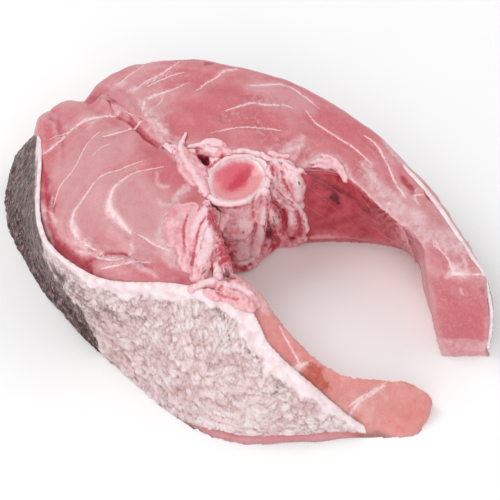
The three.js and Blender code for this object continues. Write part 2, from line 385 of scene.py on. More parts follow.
def soft_step(values, start, end):
    share = np.clip((values - start) / (end - start), 0, 1)
    return share * share * (3 - 2 * share)


def highest(*layers):
    """The highest of several layers at every point."""
    return np.max(layers, axis=0)


def noise_at(points, size, seed, octaves=2):
    """Smooth noise between about -1 and 1, with bumps of size millimetres."""
    shift = Vector((seed * 7.31, seed * 3.17, seed * 5.93))
    return np.array([noise.fractal(Vector(p) / size + shift, 1.0, 2.0, octaves) for p in points])


def edges_of(piece):
    """The numbers of the two points of every edge."""
    ends = np.empty(len(piece.data.edges) * 2, dtype=np.int32)
    piece.data.edges.foreach_get("vertices", ends)
    return ends.reshape(-1, 2).T


def write_hollows(piece, rounds, gain):
    """The attribute hollow: how far each point lies below its smoothed surroundings, above 0 in a crease. The
    materials paint shade into creases with it.
    """
    points, facing = shape_of(piece)
    first, second = edges_of(piece)
    count = np.bincount(np.append(first, second), minlength=len(points))[:, None]
    smooth = points
    for _ in range(rounds):
        columns = [
            np.bincount(first, column[second], len(points)) + np.bincount(second, column[first], len(points))
            for column in smooth.T
        ]
        smooth = (smooth + np.column_stack(columns) / count) / 2
    write(piece, hollow=((smooth - points) * facing).sum(1) * gain)


def hand_over(piece, material):
    """The last step of every piece: smooth shading, its material and the body it rides on."""
    piece.data.materials.append(material)
    only(piece)
    bpy.ops.object.shade_smooth()
    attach(piece, "root")
    print(piece.name, len(piece.data.polygons), "faces")


# %% [markdown]
# ## Strokes
# Almost everything on a cut fish runs along soft curved lines. So lines, stains and strands are all given
# the same way: as a stroke, a few knots with a half width at each, joined by a smooth curve. A stroke with
# two places and a width lies on the cut face as seen from above; with three places it can lie anywhere.

# %% A smooth path
def smooth_path(knots, step):
    """A point every step millimetres or so along a curve through the knots; the last column is a width."""
    knots = np.asarray(knots, dtype=float)
    padded = np.vstack([2 * knots[0] - knots[1], knots, 2 * knots[-1] - knots[-2]])
    path = []
    for i in range(1, len(padded) - 2):
        before, start, end, after = padded[i - 1 : i + 3]
        count = max(2, int(np.linalg.norm((end - start)[:-1]) / step))
        for s in np.arange(count) / count:
            bend = 2 * before - 5 * start + 4 * end - after
            twist = 3 * start - before - 3 * end + after
            path.append(start + ((end - before) * s + bend * s**2 + twist * s**3) / 2)
    path.append(padded[-2])
    path = np.array(path)
    path[:, -1] = path[:, -1].clip(knots[:, -1].min())
    return path


def near_path(path, points, facing, reach):
    """The points within reach of a path: their numbers, signed distances and numbers along the path."""
    line = path[:, :-1]
    spots = points[:, : line.shape[1]]
    near = np.where(((spots > line.min(0) - reach) & (spots < line.max(0) + reach)).all(1))[0]
    gaps = spots[near, None] - line[None]
    which = (gaps**2).sum(2).argmin(1)
    gap = gaps[np.arange(len(near)), which]
    ahead = np.gradient(line, axis=0)[which]
    if line.shape[1] == 2:
        side = ahead[:, 0] * gap[:, 1] - ahead[:, 1] * gap[:, 0]
    else:
        side = (np.cross(ahead, gap) * facing[near]).sum(1)
    distance = np.copysign(np.linalg.norm(gap, axis=1), side)
    kept = np.abs(distance) < reach
    return near[kept], distance[kept], which[kept]


# %% Lines and brushes
LINE_REACH = 4.0  # a line is known this far to each side of it


def draw_lines(points, facing, strokes):
    """For every point the signed distance to the nearest line, and the half width of that line."""
    offset = np.full(len(points), LINE_REACH)
    width = np.zeros(len(points))
    for knots in strokes:
        path = smooth_path(knots, 0.7)
        near, distance, which = near_path(path, points, facing, LINE_REACH)
        closer = np.abs(distance) < np.abs(offset[near])
        near, distance, which = near[closer], distance[closer], which[closer]
        offset[near] = distance
        fade = 1 - soft_step(np.abs(distance), LINE_REACH * 0.65, LINE_REACH * 0.95)
        width[near] = path[which, -1] * fade
    return offset, width


def brush(points, facing, strokes, soft=0.4, fray=0.0, seed=0):
    """1 inside broad strokes and 0 outside; soft is how far the edge spreads and fray how torn it is."""
    mask = np.zeros(len(points))
    for knots in strokes:
        path = smooth_path(knots, 1.0)
        near, distance, which = near_path(path, points, facing, path[:, -1].max() * (1 + soft + fray))
        if len(near) == 0:
            continue
        share = np.abs(distance) / path[which, -1]
        if fray:
            share = share + fray * noise_at(points[near], 2.5, seed, 3)
        mask[near] = np.maximum(mask[near], 1 - soft_step(share, 1 - soft, 1 + soft))
    return mask


# %% [markdown]
# ## The flesh: lines between the flakes
# Fish muscle grows in nested cones. The knife cuts across them, so each loin shows curved flakes, and the
# thin white sheets between the flakes show as pale lines, a little wider here and there. They could be
# painted as a texture, but drawn as strokes they follow the real flakes of this steak.

# %% Lines on the near loin and its flap
NEAR_LINES = [
    [(-16, 28.5, 0.2), (-21.5, 32, 0.25), (-27, 35.5, 0.35), (-37, 35.5, 0.6), (-43.5, 32.5, 0.9),
     (-48.5, 28, 1.6), (-50, 22, 1.1), (-52, 13, 0.5)],
    [(-19, 37, 0.15), (-29, 41.5, 0.3), (-37.5, 44.5, 0.35), (-49.5, 42.5, 0.45), (-58.5, 39.5, 0.5),
     (-64, 35, 0.9), (-67, 28, 0.6), (-67, 20, 0.3)],
    [(-17, 64, 0.15), (-26, 63, 0.2), (-38.5, 57.5, 0.2), (-51, 54.5, 0.2), (-60, 49.5, 0.2)],
    [(0, 60.5, 0.3), (0.5, 64, 0.3), (2.5, 70, 0.4)],
    [(-33.5, 77, 0.1), (-27, 76, 0.2), (-20.5, 74.5, 0.1)],
    [(-17, 61, 0.3), (-12.5, 58.5, 0.35), (-7, 56.5, 0.3), (-0.5, 54.5, 0.3)],
    [(-20, 55.5, 0.3), (-23.5, 56.5, 0.2), (-29, 56, 0.1)],
    [(-71, 10, 0.3), (-66, 5, 0.4), (-61.5, 2, 0.3), (-58, -2.5, 0.2)],
    [(-69, 17, 0.35), (-67, 10, 0.5), (-64, 7, 0.3)],
    [(-50.5, 9.5, 0.2), (-50, 1.5, 0.4), (-48.5, -5.5, 0.2)],
    [(-5.5, 16.5, 0.2), (-10.5, 12.5, 0.8), (-10, 10, 0.6), (-7.5, 5.5, 0.3)],
    [(-55.9, -72.1, 0.5), (-51.3, -74.1, 0.9), (-46.4, -75.8, 0.4)],
    [(-44.2, -59.9, 0.2), (-46.8, -67.2, 0.35), (-48.8, -74.1, 0.3)],
    [(-44, -96.4, 0.5), (-37.4, -96.9, 0.6), (-30.9, -99.1, 0.5), (-25.6, -100.2, 0.4)],
    [(-46.6, -94.2, 0.6), (-45.8, -101, 0.8), (-40, -108, 0.5)],
]

# %% Lines on the far loin and its flap
FAR_LINES = [
    [(50, 2.5, 0.15), (47, -6, 0.3), (47.5, -17, 0.3), (47.5, -26, 0.35), (45.5, -36.5, 0.2)],
    [(55.5, -26, 0.2), (54.5, -33.5, 0.35), (49, -43, 0.35), (43, -51.5, 0.4), (39, -59.5, 0.4)],
    [(40, -66, 0.3), (42.5, -62, 0.4), (45, -64, 0.3)],
    [(19, -99, 0.9), (22, -103, 0.6), (26, -108, 0.3)],
    [(26, -84, 0.3), (24, -92, 0.3), (20, -98, 0.6)],
]

# %% Lines placed on the photograph
LINES_SEEN = [
    [(197, 90, 0.2), (207, 82, 0.35), (217, 76, 0.45), (225, 70, 0.55), (237, 68, 0.5), (246, 68, 0.2)],
    [(250, 84, 0.3), (265, 84, 0.45), (280, 84, 0.4), (290, 87, 0.3), (302, 94, 0.35), (310, 100, 0.3),
     (318, 107, 0.15)],
    [(227, 110, 0.2), (240, 106, 0.35), (252, 102, 0.5), (265, 104, 0.5), (282, 105, 0.3),
     (292, 108, 0.1)],
    [(144, 112, 0.3), (144, 104, 0.45), (150, 97, 0.6), (165, 91, 0.4), (177, 87, 0.3), (186, 83, 0.15)],
    [(134, 91, 0.2), (145, 82, 0.3), (155, 77, 0.3), (167, 70, 0.35), (178, 62, 0.2)],
    [(148, 86, 0.15), (160, 80, 0.25), (172, 75, 0.25), (183, 72, 0.15)],
    [(118, 85, 0.1), (128, 76, 0.2), (140, 68, 0.15), (148, 62, 0.1)],
    [(156, 106, 0.1), (160, 101, 0.3), (164, 96, 0.1)],
    [(212, 132, 0.1), (228, 129, 0.2), (245, 127, 0.2), (265, 128, 0.3), (280, 130, 0.15)],
    [(115, 116, 0.2), (105, 115, 0.3), (95, 117, 0.5), (85, 120, 0.7), (78, 124, 0.4), (70, 131, 0.35),
     (62, 139, 0.3), (50, 149, 0.4), (43, 154, 0.2)],
    [(286, 369, 0.4), (296, 366, 0.7), (308, 362, 0.4)],
    [(350, 406, 0.3), (362, 397, 0.5), (385, 386, 0.2)],
]

# %% [markdown]
# The solids lean a little too far inwards at the near skin's upper edge, where in the photograph the skin
# stands out and casts a shadow on the wall below it. So the skin and the flesh behind it are both leaned
# out there by the same few millimetres.

# %% Leaning out
FLESH_SHARE = 0.75  # the flesh leans a little less than the skin
LEAN = [(-12, 0), (4, 1.2), (16, 2.4), (27, 4.6), (36, 5.6), (46, 4.2), (58, 1.8), (72, 0)]
OUTWARD = np.array([-0.92, 0.38, 0.0])


def leaned_out(points, share=1.0):
    """The points, leaned out by the upper edge of the near skin."""
    x, y, z = points.T
    across, amounts = zip(*LEAN)
    amount = np.interp(y, across, amounts) * share
    amount *= soft_step(z, 8, 40) * soft_step(-x, 30, 62)
    return points + amount[:, None] * OUTWARD


# %% [markdown]
# The flesh's outer shoulders are rounded off in the solids, which would leave a dark gap beside the skin.
# They are filled, and the foot of the flesh is drawn in, so that the skin covers it.

# %% Shoulders and foot
SHOULDER_TOP = 43.0
FLAP_TOP = 41.2
SHOULDER_OUT = 1.5
FOOT_DRAWN = 2.4


def filled_out(points, facing):
    """The flesh's points, with its outer shoulders raised and its foot drawn in under the skin."""
    x, y, z = points.T
    outer = soft_step(facing[:, 0] * np.sign(x), 0.02, 0.3)
    outer *= soft_step(np.abs(x), 16, 26)
    near = (x < 0) * soft_step(y, -18, 2)
    near = near * (0.45 + 0.45 * soft_step(y, 30, 52))
    far = (x > 0) * soft_step(y, 90, 58) * 0.75
    top = np.interp(y, [-60, -30], [FLAP_TOP, SHOULDER_TOP])
    rise = outer * (near + far) * soft_step(z, 27, 37)
    drawn = outer * soft_step(z, 8, 3.5) * soft_step(y, -60, -44) * FOOT_DRAWN
    moved = points.copy()
    moved[:, 2] += np.maximum(top - z, 0) * rise
    moved[:, :2] += facing[:, :2] * (SHOULDER_OUT * rise - drawn)[:, None]
    return moved


flesh = fine_copy("flesh", "raw_flesh", 0.98, 3)
points, facing = shape_of(flesh)
move_points(flesh, filled_out(leaned_out(points, FLESH_SHARE), facing))
points, facing = shape_of(flesh)
x, y, z = points.T
view = seen(points)
front = towards_camera(points, facing)
on_top = soft_step(facing[:, 2], 0.3, 0.75) * soft_step(z, 1.0, 3.0)
flap_side = soft_step(-y, 40, 55) * (x < 0) * soft_step(z, 1.0, 3.0)
print("flesh has", len(points), "points")

# %% [markdown]
# ## The flesh: relief
# The cut face is not flat. The cleft between the two loins bends, the lines between flakes are shallow
# grooves, the edge by the backbone slopes into the belly under a coat of fat, and the knife left fine
# ripples. Each is one stroke that lowers or raises the points near it. A displacement texture could not
# place them, so the points are moved in code.

# %% The cleft and the slopes
CAD_CLEFT = [(1.6, 76, 6), (1, 60, 6), (0, 44, 6)]
CLEFT = [
    (1.5, 95, 1.6), (1.3, 79, 1.8), (-2.7, 67.8, 1.6), (-2.6, 60.1, 1.8), (-3.6, 52.8, 2.2),
    (-4.9, 46.9, 2.4), (-5.5, 40.2, 2.4),
]
CLEFT_DEPTH = 1.5
VALLEY_DEPTH = 1.3
BELLY_EDGE = [(-12, -4, 5), (-24, -13, 7), (-35, -24, 8), (-38, -36, 7)]
BELLY_SLOPE = 2.6
WALL_EDGE = [(14, -1, 4), (24, -14, 5), (32, -24, 4)]
WALL_SLOPE = 1.4

height = np.zeros(len(points))
filled = brush(points, facing, [CAD_CLEFT], 0.5) * on_top
height += np.maximum(STEAK_TOP - 0.9 - z, 0) * filled
near, distance, which = near_path(smooth_path(CLEFT, 0.7), points, facing, 16)
fade = on_top[near] * soft_step(points[near, 1], 98, 84)
height[near] -= CLEFT_DEPTH * np.exp(-((distance / 1.3) ** 2)) * fade
height[near] -= VALLEY_DEPTH * np.exp(-((distance / 5.5) ** 2)) * fade
height -= BELLY_SLOPE * brush(points, facing, [BELLY_EDGE], 0.7) * on_top
height -= WALL_SLOPE * brush(points, facing, [WALL_EDGE], 0.7) * on_top

# %% Grooves, ripples and rags
PIXEL = 0.4255  # mm of steak that a pixel of the photograph spans
JUMP = 0.8  # mm, so far from both lines a change of side is no line
offset, width = draw_lines(points, facing, NEAR_LINES + FAR_LINES)
strokes = [[(across * PIXEL, down * PIXEL, half) for across, down, half in knots] for knots in LINES_SEEN]
seen_offset, seen_width = draw_lines(view[:, :2] * PIXEL, facing, strokes)
closer = np.abs(seen_offset) < np.abs(offset)
offset = np.where(closer, seen_offset, offset)
width = np.where(closer, seen_width * front, width) * np.maximum(on_top, flap_side)
# Halfway between two lines the offset jumps from one side to the other, which would show as a line.
first, second = edges_of(flesh)
far_off = np.minimum(np.abs(offset[first]), np.abs(offset[second])) > JUMP
jumps = far_off & (offset[first] * offset[second] < 0)
width[np.append(first[jumps], second[jumps])] = 0
groove = np.exp(-((offset / 0.9) ** 2)) * np.clip(width / 0.3, 0, 1.4)
terrace = offset / (np.abs(offset) + 0.7) * np.clip(width / 0.3, 0, 1.2)
RAGGED = [
    [(6, 64, 43, 4), (5, 55, 43, 5), (3, 45, 43, 5), (-1, 38, 43, 3)],
    [(22, 27, 44, 3), (30, 22, 44, 4), (28, 10, 44, 4), (26, -2, 43, 4), (31, -12, 43, 4)],
    [(-26, 11, 44, 2.5), (-14, 13, 44, 2.5)],
    [(-33, -3, 43, 5), (-41, -16, 43, 7), (-45, -34, 42, 6)],
    [(40, -36, 42, 4), (34, -56, 42, 4), (30, -76, 42, 5), (28, -92, 42, 5)],
    [(-60, 0, 43, 3), (-66, 12, 43, 3), (-66, 24, 43, 3)],
    [(40, 26, 44, 3), (48, 12, 44, 3)],
]
rags = brush(points, facing, RAGGED, 0.7, 0.4, 3)
flap = soft_step(-y, 30, 55)
end_face = soft_step(-y, 84, 96) * soft_step(x, -2, 8)
end_face *= soft_step(facing[:, 2], 0.7, 0.3)
ripple = noise_at(points, 14, 1) * (0.5 + 0.5 * flap * (1 - on_top)) + noise_at(points, 4.5, 2) * 0.2
torn = np.maximum(noise_at(points, 1.7, 4, 3), -0.1) * (rags * 0.9 + end_face * 0.4)
height += ripple + torn - 0.35 * groove + 0.22 * terrace

# %% Flesh against the skin
# The CAD keeps a gap of under a millimetre between flesh and skin; here the flesh grows to close it.
outer = soft_step(facing[:, 0] * np.sign(x), 0.05, 0.5) * (np.abs(x) > 20)
upper_right = soft_step(x, 20, 30) * soft_step(z, 20, 34)
height += (0.55 + 0.6 * upper_right) * outer * (1 - on_top)
direction = facing.copy()
direction[:, 2] *= soft_step(z, 0.3, 3.0)

# %% Swellings
BELLY_LENS = [[(102, 270, 8), (120, 271, 13), (145, 277, 11), (170, 282, 7)]]
LENS_GROOVE = [
    [(84, 269, 3), (91, 260, 2.6), (104, 254, 2.6), (122, 253, 2.6), (135, 260, 2.2), (152, 269, 1.8)],
]
height += 1.3 * brush(view, facing, BELLY_LENS, 0.8) * front * on_top
height -= 0.6 * brush(view, facing, LENS_GROOVE, 1.0) * front * on_top
ROOT_LUMP = [(-41, -37, 38, 6), (-42, -45, 37, 7)]
swell = brush(points, facing, [ROOT_LUMP], 0.7) * 2.2
moved = points + direction * height[:, None]
moved += swell[:, None] * np.array([0.75, 0.55, 0.2])
over_wall = soft_step(z, 37, 41) * soft_step(-facing[:, 0], 0.0, 0.4)
over_wall *= soft_step(x, 6, 12) * soft_step(-y, 0, 8)
over_wall *= soft_step(y, -84, -74)
moved[:, 0] -= 1.1 * over_wall
move_points(flesh, moved)
write_hollows(flesh, 10, 4)
print("flesh relief from", round(height.min(), 1), "to", round(height.max(), 1), "mm")

# %% [markdown]
# ## The flesh: colour
# Raw white fish is a clear pink that grows deeper where the muscle is thin or bloody: in the cleft, on the
# wall of the belly and on the cut end of the far flap. The crimson in the crevice beside the skin is painted
# shade. Beside the backbone and along the inner edges it is whitened by fat and torn membrane. The near flap
# is warmer, with one brown-orange stain. Each of these is an attribute painted with strokes. The cut end of
# the far flap, which faces away from the key light, is painted a little paler as painted light, and in the
# material every crease is painted a deeper pink as painted shade.

# %% Pale and deep pink
PALE = [
    [(-48, 38, 44, 16), (-42, 14, 44, 17)],
    [(-22, 54, 44, 9), (-48, 58, 44, 7)],
    [(26, 76, 43, 9), (12, 72, 43, 9), (12, 56, 43, 8)],
    [(-38, -4, 44, 8), (-44, -18, 43, 8)],
    [(48, -38, 42, 6), (40, -56, 42, 6), (33, -82, 42, 9)],
    [(-20, -110, 5, 12), (-34, -94, 14, 8)],
    [(48, 30, 44, 6), (52, 10, 44, 6)],
]
DEEP = [
    [(50, -10, 44, 7), (52, -26, 43, 7), (44, -50, 42, 5)],
    [(10, 40, 44, 7), (22, 32, 44, 7), (36, 32, 44, 6), (30, 10, 44, 6)],
    [(-64, -4, 43, 6), (-58, -16, 43, 7), (-50, -24, 43, 6)],
    [(-16, 24, 44, 7), (-12, 38, 43, 6), (-18, 6, 44, 6)],
    [(-46, -50, 39, 4), (-50, -64, 33, 4)],
    [(-62, 48, 43, 4), (-50, 66, 43, 4), (-30, 82, 42, 5)],
]
DEEP_END = [[(24, -110, 22, 12), (20, -110, 14, 10)]]
pale = 0.5 + 0.45 * brush(points, facing, PALE, 0.95) - 0.45 * brush(points, facing, DEEP, 0.95)
pale += np.where(x < 0, 0.04, -0.14) + noise_at(points, 16, 5) * 0.14
pale += 0.1 * terrace + 0.3 * flap_side * (1 - on_top)
# The cut end of the far flap faces away from the key light and is painted a little paler as painted light;
# DEEP_END makes its middle a deeper pink.
pale += end_face * (0.08 - 0.4 * brush(points, facing, DEEP_END, 0.9))

# %% Blood, and painted shade in the crevice by the skin
BLOOD_AND_SHADE_SEEN = [
    # The first five strokes are painted shade: crimson in the crevice by the near skin and along the groove
    # above the belly lens.
    [(41, 160, 1.5), (43, 172, 3), (45, 181, 4.5), (46, 189, 3)],
    [(45, 195, 4), (50, 202, 5), (53, 210, 3.2)],
    [(47, 214, 2.2), (50, 228, 4.5), (55, 240, 5), (63, 250, 5.5), (73, 258, 6), (83, 265, 6.5),
     (90, 270, 4.5)],
    [(60, 262, 3), (74, 270, 3.5), (88, 277, 3)],
    [(88, 264, 1.5), (95, 258, 1), (106, 254, 1), (116, 254, 1.6), (124, 255, 1.8), (130, 257, 1)],
    [(112, 98, 0.7), (120, 106, 0.9), (128, 118, 1.2), (133, 125, 1.6), (140, 130, 2.2), (147, 137, 3.2),
     (152, 141, 1.6)],
    [(171, 151, 1.2), (177, 157, 2.8), (181, 165, 1.8)],
    [(410, 185, 2), (412, 191, 3.6), (414, 195, 2)],
    [(425, 193, 1.4), (430, 198, 1.8)],
    [(464, 246, 2), (472, 250, 3.2), (477, 260, 2.2)],
    [(206, 64, 2), (214, 63, 1.4)],
]
FLUSH_SEEN = [
    [(104, 97, 4), (114, 106, 6), (124, 116, 5)],
    [(46, 170, 6), (52, 190, 7), (56, 206, 5)],
    [(150, 150, 6), (165, 152, 8), (176, 162, 7)],
    [(160, 172, 4), (168, 180, 5), (182, 178, 4)],
    [(184, 204, 6), (196, 198, 6)],
    [(212, 128, 4), (220, 134, 6), (240, 128, 5), (262, 128, 4)],
    [(300, 128, 5), (310, 133, 7), (318, 138, 5)],
    [(430, 215, 5), (442, 222, 8), (452, 228, 6)],
    [(215, 290, 5), (225, 297, 6), (238, 302, 5)],
    [(170, 275, 6), (184, 278, 6), (194, 282, 4)],
]
BLOOD = [
    [(1.5, 84, 42, 0.7), (1.3, 77.5, 42, 1), (-2.7, 67.8, 41, 1), (-2.6, 60.1, 41, 1.1),
     (-3.6, 52.8, 41, 1.3), (-4.9, 46.9, 41, 1.6), (-5, 40.2, 41, 1.6), (-7, 31, 42, 1.2)],
    [(-9.5, 26, 43, 1.2), (-13, 16, 43, 1.2), (-15, 8, 42, 1.2), (-14, 0, 41, 1.6)],
    [(16, -6, 41, 2.4), (25, -16, 40, 2), (32, -26, 39, 1.6)],
    [(47, -52, 42, 1.8), (44, -58, 42, 1.5)],
    [(50, -60, 42, 2), (47, -66, 42, 1.6)],
    [(-26, -18, 32, 5), (-22, -13, 22, 5)],
]
belly = soft_step(-y, -4, 6)
belly_wall = soft_step(facing[:, 2], 0.55, 0.1) * soft_step(x, 4, 9) * belly
belly_wall *= soft_step(-facing[:, 0], -0.2, 0.3) * soft_step(y, -84, -72)
near_wall = soft_step(facing[:, 2], 0.4, 0.0) * soft_step(facing[:, 0], 0.3, 0.6) * belly
near_wall *= soft_step(-x, 4, 12) * soft_step(y, -78, -60)
blood = highest(
    brush(points, facing, BLOOD, 0.6, 0.4, 6) * 0.85,
    brush(view, facing, BLOOD_AND_SHADE_SEEN, 0.8, 0.5, 61) * front,
    brush(view, facing, FLUSH_SEEN, 0.95, 0.3, 62) * front * 0.3,
    belly_wall * (0.55 + 0.2 * noise_at(points, 5, 7)),
    near_wall * (0.4 + 0.2 * noise_at(points, 6, 8)),
)

# %% Fat and torn white membrane
FAT = [
    [(-25, 11.5, 44, 1), (-18, 13, 44, 1.6), (-11, 12, 44, 1.2)],
    [(24, -5, 44, 1.4), (30, -8, 44, 2), (36, -7, 44, 1.4)],
    [(8, 63, 43, 2), (6, 55, 43, 3), (3, 48, 43, 3), (-0.5, 40, 43, 2.4)],
    [(-28, -4, 43, 4), (-36, -14, 43, 5), (-42, -26, 42, 4)],
    [(-42, -36, 42, 3), (-42, -44, 40, 3.5), (-43, -52, 38, 2)],
    [(44, -34, 42, 1.4), (36, -47, 42, 2.8), (32, -60, 42, 3.4), (33, -70, 42, 3.4), (29, -76, 42, 2)],
    [(28, -80, 42, 3), (31, -86, 42, 4.5), (31, -94, 42, 3.5)],
    [(19, -99, 41, 2.2), (23, -103, 41, 1.4)],
    [(-70, 32, 43, 1.2), (-68, 24, 43, 1.6)],
    [(-49.5, 26, 44, 2.2), (-50.5, 20, 44, 1.6)],
    [(-12, 70, 43, 1.6), (-17, 70.5, 43, 1.6)],
    [(2, 72, 43, 2.4), (6, 76, 43, 1.2)],
    [(-54, -63, 35, 1.2), (-57, -72, 30, 1.6), (-52, -84, 22, 1.2)],
    [(-42, -96, 14, 1.6), (-44, -104, 9, 1.6)],
    [(60, -32, 41, 1.2), (55.5, -44, 41, 1.8), (52, -57, 41, 1.8), (46, -72, 41, 1.4),
     (36, -90, 41, 1.2)],
]
FAT_SEEN = [
    [(112, 90, 2), (118, 86, 3), (126, 82, 1.5)],
    [(128, 91, 1.5), (135, 89, 3), (140, 88, 1.5)],
    [(104, 98, 1), (108, 104, 1.6), (113, 112, 2), (118, 116, 1)],
    [(73, 222, 1.5), (76, 232, 2.8), (78, 241, 2.2), (86, 247, 1.2)],
    [(108, 203, 1.8), (112, 213, 2.4), (118, 221, 1.6), (125, 230, 1)],
    [(100, 253, 1.4), (90, 254, 1.6), (76, 251, 1.4)],
    [(130, 262, 1.5), (140, 268, 2.6), (150, 273, 2.2), (158, 278, 1)],
    [(131, 244, 1.2), (133, 251, 2.2), (129, 256, 1.6)],
    [(175, 199, 3), (182, 191, 3.2), (190, 188, 2.6), (197, 184, 1.5)],
    [(157, 173, 1), (157, 182, 1.6), (161, 186, 1.6), (169, 187, 1)],
    [(158, 199, 1), (163, 205, 1.6), (172, 205, 1.4)],
    [(52, 197, 1.2), (51, 212, 1.8), (55, 221, 2.2)],
    [(40, 203, 2), (42, 214, 3.4), (44, 226, 3.8), (49, 238, 3), (54, 247, 1.6)],
    [(268, 150, 2), (276, 155, 3), (285, 157, 3), (295, 156, 2)],
    [(285, 148, 2), (291, 144, 2.6), (297, 141, 2), (303, 140, 1)],
    [(346, 165, 2), (352, 178, 2.6), (362, 190, 3), (375, 201, 3), (388, 211, 3), (402, 224, 2.4),
     (414, 236, 1.6)],
    [(370, 165, 3), (372, 175, 3), (380, 186, 3.4), (390, 194, 4), (398, 201, 5), (406, 212, 4),
     (414, 213, 4), (420, 224, 3)],
    [(430, 239, 3), (442, 236, 5), (455, 238, 5), (463, 245, 3)],
    [(446, 277, 1.8), (452, 272, 3), (458, 266, 1.8)],
    [(463, 257, 1.2), (466, 268, 2), (460, 277, 1.4), (475, 277, 1), (486, 278, 0.8)],
    [(446, 265, 0.9), (456, 266, 1.2), (467, 263, 0.9)],
    [(461, 290, 1.6), (463, 294, 1.2)],
    [(168, 214, 4), (163, 228, 6), (165, 248, 6.5), (175, 264, 5)],
    [(178, 140, 3), (176, 152, 4), (183, 168, 4), (192, 184, 3.5)],
    [(302, 165, 3), (312, 160, 4), (324, 157, 4), (338, 160, 4)],
    [(416, 190, 1), (413, 198, 1.2), (420, 203, 1.2)],
    [(422, 262, 1.6), (425, 285, 2.4), (428, 310, 2.6), (432, 338, 2)],
]
fat = highest(
    brush(points, facing, FAT, 0.8, 0.5, 9),
    brush(view, facing, FAT_SEEN, 0.8, 0.6, 63) * front,
    end_face * soft_step(z, 9.5, 8.0) * 0.6,
)

# %% Warm stain on the near flap
STAIN_SEEN = [
    [(292, 373, 6), (303, 376, 9), (314, 380, 10), (324, 386, 7)],
    [(309, 366, 6), (318, 372, 8)],
]
RED_BUNDLES = [[(-48.5, -92, 16, 2.4), (-48, -94, 15, 2.4)], [(-47.5, -98, 12, 2), (-47, -101, 10, 1.8)]]
warm = soft_step(-y, 36, 56) * soft_step(-x, 0, 12) * 0.24
warm *= 1 - 0.8 * soft_step(-x, 46, 54) * soft_step(z, 9, 4)
warm = highest(
    warm,
    brush(view, facing, STAIN_SEEN, 0.95, 0.5, 10) * front * 0.8,
    brush(points, facing, RED_BUNDLES) * 0.4,
)
write(flesh, pale=pale.clip(0, 1), blood=blood.clip(0, 1), fat=fat.clip(0, 1), rags=rags, warm=warm)
write(flesh, line_offset=offset, line_width=width)
print("pale", pale.mean().round(2), "blood", blood.mean().round(2), "fat", fat.mean().round(2))

# %% [markdown]
# ## The flesh: finish
# Wet raw muscle lets light in a little way, so it has some subsurface scattering, and a film of water on
# top, so it has a coat, thin enough not to look like plastic. Very fine fibres and grains show in the bump,
# and white specks on the fat are painted glints. The colours are measured against the photograph, because
# reds come out too strong when only guessed.

# %% Flesh colours
DEEP_PINK = colour(201, 102, 112)
CLEAR_PINK = colour(209, 150, 154)
WARM_PINK = colour(221, 143, 135)
BLOOD_AND_SHADE_RED = colour(168, 22, 50)
FAT_AND_GLINT_WHITE = colour(240, 212, 215)
WARM_CLEAR = colour(230, 176, 168)
WARM_DEEP = colour(212, 120, 116)
WARM_BROWN = colour(186, 82, 62)
LINE_WHITE = colour(243, 218, 220)


# %% Flesh material
def flesh_paint():
    paint = Paint("raw_flesh")
    where = paint.position()
    cloud = paint.noise(where, 0.07, 3.0)
    mottle = paint.noise(where, 0.3, 4.0)
    grain = paint.noise(where, 1.1, 5.0)
    speckle = paint.noise(where, 1.0, 5.0)
    hollow = paint.attribute("hollow")
    # Creases turn a deeper pink and bulges paler: painted shade and painted light.
    pale = paint.attribute("pale") + (cloud - 0.5) * 0.35 + (mottle - 0.5) * 0.35 - hollow * 0.35
    base = paint.mix(pale.step(-0.1, 1.1), DEEP_PINK, CLEAR_PINK)
    warm = paint.attribute("warm")
    warmth = warm.step(0.0, 0.25)
    base = paint.mix(warmth * 0.75, base, WARM_PINK)
    clouded = cloud + (mottle - 0.5) * 0.6
    base = paint.mix(warmth * clouded.step(0.5, 0.75) * 0.6, base, WARM_CLEAR)
    base = paint.mix(warmth * clouded.step(0.48, 0.25) * 0.6, base, WARM_DEEP)
    base = paint.mix((warm + (mottle - 0.5) * warm).step(0.28, 0.85), base, WARM_BROWN)
    blood = paint.attribute("blood")
    # Creases also deepen the red a little: painted shade.
    bloody = (blood + (grain - 0.5) * 0.6 * blood + hollow * 0.3 * blood).step(0.05, 1.0)
    base = paint.mix(bloody * 0.9, base, BLOOD_AND_SHADE_RED)
    fat = paint.attribute("fat")
    # Fat is whitened in soft patches, and in specks on the glints' noise, which are painted glints.
    fat_and_glints = fat * (mottle.step(0.3, 0.7) * 0.4 + 0.22) + fat * speckle.step(0.5, 0.72) * 0.32
    base = paint.mix(fat_and_glints, base, FAT_AND_GLINT_WHITE)
    base = paint.mix(grain.step(0.4, 0.75) * 0.1, base, FAT_AND_GLINT_WHITE)
    base = paint.mix(speckle.step(0.38, 0.25) * 0.35, base, DEEP_PINK)
    wander = (paint.noise(where, 0.8, 3.0) - 0.5) * 0.7
    away = (paint.attribute("line_offset") + wander).size()
    broken = paint.noise(where, 0.4, 3.0).step(0.25, 0.5)
    line = (away / (paint.attribute("line_width") + 0.02)).step(1.5, 0.3) * broken
    haze = (away / (paint.attribute("line_width") * 3.5 + 0.02)).step(1.2, 0.0)
    base = paint.mix(haze * (grain.step(0.35, 0.7) * 0.35 + 0.1), base, FAT_AND_GLINT_WHITE)
    base = paint.mix(line * 0.85, base, LINE_WHITE)
    fibres = paint.noise(paint.position(0.5, 0.5, 1.0), 1.5, 5.0)
    wet = paint.attribute("rags") * 0.7 + fat * 0.4 + 0.12
    glints = speckle.step(0.52, 0.64) * wet
    relief = fibres * 0.35 + grain * 0.3 + line * 0.3 + glints * 1.6
    return paint.wet(
        base,
        grain.step(0.25, 0.75) * 0.16 + 0.42 - glints * 0.2,
        bump=(relief, 0.55, 0.5),
        scatter=(0.4, (1.0, 0.35, 0.3), 3.0),
        coat=(wet * 0.6 + 0.15, 0.18),
        specular=0.4,
    )


hand_over(flesh, flesh_paint())
